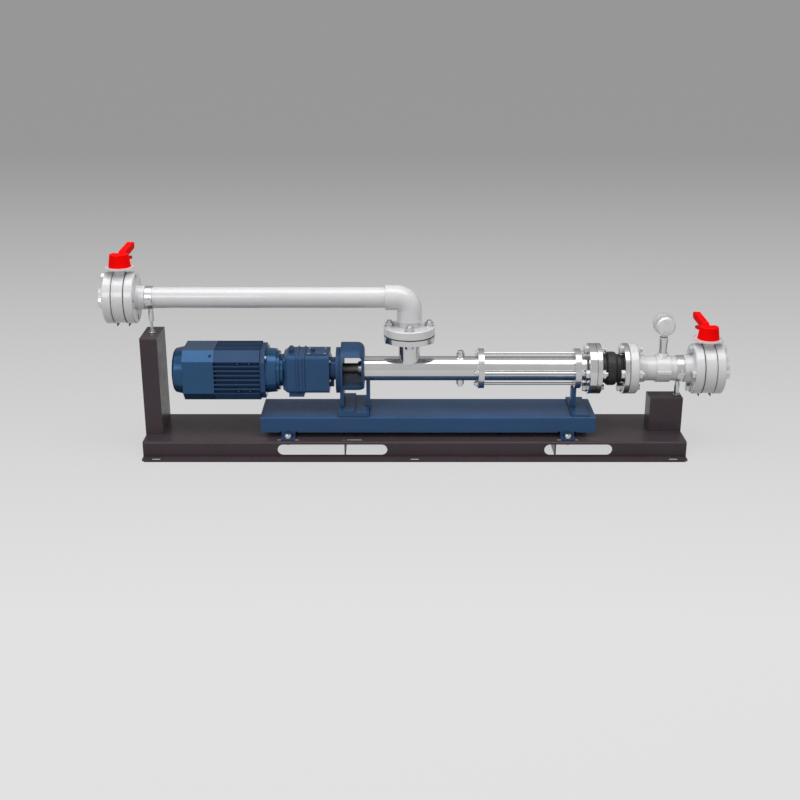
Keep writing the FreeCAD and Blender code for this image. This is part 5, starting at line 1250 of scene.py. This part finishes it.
@dataclass
class ValveDetails:
    """The moulded trims of one butterfly valve."""

    name: str
    places: Places
    plate_rise: float = 90 * MM
    plate_thick: float = 5 * MM
    ridges: int = 19
    ridge_step: float = 10.0
    ridge_span: tuple[float, float] = (35 * MM, 42.5 * MM)
    ridge_radius: float = 0.45 * MM
    hub_height: float = 36.8 * MM
    rim: Outline = outline((0.0, 75.0), (0.0, 76.3), (0.6, 76.8), (3.4, 76.8), (4.2, 75.0))
    cap: Outline = outline((-0.3, 14.0), (0.5, 13.4), (0.8, 12.0), (0.8, 0.0))

    def build(self) -> None:
        """Add the valve's fine pieces, each on the body that it moves with."""
        low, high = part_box(f"{self.name}_valve_body")
        on_line = self.places.on_suction_line if self.name == "suction" else self.places.on_pump_line
        rims = [(on_line(low.x), ALONG), (on_line(high.x), -ALONG)]
        turned_piece(f"{self.name}_drum_rims", Slot.PIPE, rims, self.rim, 96)
        centre = on_line((low.x + high.x) / 2)
        self.index_ridges(centre + UP * (self.plate_rise + self.plate_thick))
        centre.z = high.z + self.plate_thick + self.hub_height
        body = f"{self.name}_handle"
        turned_piece(f"{self.name}_hub_cap", Slot.RED, [(centre, UP)], self.cap, 40, body=body)

    def index_ridges(self, centre: Vector) -> None:
        """Mould a fan of short ridges on the index plate, one for each latch step.

        Args:
            centre: the middle of the plate's top.
        """
        shape = Shape()
        for index in range(self.ridges):
            out = around(1.0, 90.0 - self.ridge_step * (index - self.ridges // 2), UP)
            shape.tube([centre + out * radius for radius in self.ridge_span], self.ridge_radius, sides=6)
        shape.piece(f"{self.name}_index_ridges", Slot.PIPE)


@dataclass
class GaugeDetails:
    """The dial's scale and figures, and the screws and ring on the back of the case."""

    places: Places
    radius: float = 27.5 * MM
    print_rise: float = 0.05 * MM
    divisions: int = 50
    figures: int = 10
    sweep: float = 270.0
    start: float = 45.0
    mark_end: float = 0.95
    long_mark: tuple[float, float] = (0.80, 0.28 * MM)
    short_mark: tuple[float, float] = (0.87, 0.16 * MM)
    arc_steps: int = 90
    arc_radius: float = 0.15 * MM
    figure_size: float = 6.0 * MM
    figure_depth: float = 0.06 * MM
    figure_circle: float = 0.60
    screw: Outline = outline((-0.2, 2.6), (0.9, 2.3), (1.1, 0.0))
    screw_off: tuple[float, float] = (6 * MM, -17 * MM)
    ring_rise: float = 12 * MM

    def build(self) -> None:
        """Add all of the gauge's fine pieces."""
        centre = self.places.gauge.copy()
        centre.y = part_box("gauge_dial")[1].y + self.print_rise
        self.scale(centre)
        self.numbers(centre)
        self.back_trims()

    def direction(self, share: float) -> Vector:
        """The way from the dial's centre to a share of the scale, as the pointer turns."""
        turn = math.radians(self.start - self.sweep * share)
        return Vector((math.cos(turn), 0.0, -math.sin(turn)))

    def scale(self, centre: Vector) -> None:
        """Print the scale's long and short lines and its arc.

        Args:
            centre: the middle of the dial's face.
        """
        marks = Shape()
        end = self.radius * self.mark_end
        for index in range(self.divisions + 1):
            numbered = index % (self.divisions // self.figures) == 0
            begin, width = self.long_mark if numbered else self.short_mark
            way = self.direction(index / self.divisions)
            marks.tube([centre + way * (self.radius * begin), centre + way * end], width, sides=4)
        arc = [centre + self.direction(step / self.arc_steps) * end for step in range(self.arc_steps + 1)]
        marks.tube(arc, self.arc_radius, sides=4)
        marks.piece("dial_scale", Slot.DIAL, finish=INK)

    def numbers(self, centre: Vector) -> None:
        """Print plain figures round the scale, readable from behind the set.

        Args:
            centre: the middle of the dial's face.
        """
        shape = Shape()
        facing = Matrix(((-1.0, 0.0, 0.0), (0.0, 0.0, 1.0), (0.0, 1.0, 0.0))).to_4x4()
        for index in range(0, self.figures + 1, 2):
            curve = bpy.data.curves.new("figure", "FONT")
            curve.body = str(index)
            curve.size = self.figure_size
            curve.extrude = self.figure_depth
            curve.align_x = "CENTER"
            curve.align_y = "CENTER"
            item = bpy.data.objects.new("figure", curve)
            bpy.context.scene.collection.objects.link(item)
            bpy.context.view_layer.update()
            flat = bpy.data.meshes.new_from_object(item)
            at = centre + self.direction(index / self.figures) * (self.radius * self.figure_circle)
            flat.transform(Matrix.Translation(at) @ facing)
            shape.mesh.from_mesh(flat)
            bpy.data.objects.remove(item)
            bpy.data.curves.remove(curve)
            bpy.data.meshes.remove(flat)
        shape.piece("dial_figures", Slot.DIAL, finish=INK)

    def back_trims(self) -> None:
        """Put two small screws with washers and a raised ring on the back of the case."""
        centre = self.places.gauge.copy()
        centre.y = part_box("gauge_case")[0].y
        off_x, off_z = self.screw_off
        screws = Shape()
        for side in SIDES:
            at = centre + Vector((off_x * side, 0.0, off_z))
            screws.ring(at, -ACROSS, outer=3.4 * MM, inner=1.5 * MM, height=0.5 * MM, edge=0.15 * MM)
            screws.lathe(at, -ACROSS, self.screw)
        screws.piece("gauge_back_screws", Slot.ZINC)
        ring = Shape()
        at = centre + UP * self.ring_rise
        ring.ring(at, -ACROSS, outer=5.5 * MM, inner=4.5 * MM, height=0.6 * MM, edge=0.15 * MM)
        ring.piece("gauge_back_ring", Slot.STAINLESS)


def corners(box: Iterable) -> list[list[float]]:
    """A box's two corners as plain lists."""
    return [[round(float(value), 6) for value in corner] for corner in box]


def main() -> None:
    """Load the frame, dress every node and add the studio and each sub-assembly's fine pieces."""
    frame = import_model()
    FINISHER.dress_nodes(frame)
    places = Places.read()
    Studio().build()
    builders = [
        SkidDetails(places), MotorDetails(places), GearboxDetails(places), PumpDetails(places),
        FlangeBolting(places), PipeworkDetails(places), ValveDetails("suction", places),
        ValveDetails("discharge", places), GaugeDetails(places),
    ]
    for builder in builders:
        builder.build()
        LOG.info("built %s", type(builder).__name__)


if __name__ == "__main__":
    logging.basicConfig(level=logging.INFO, format="%(name)s: %(message)s")
    main()
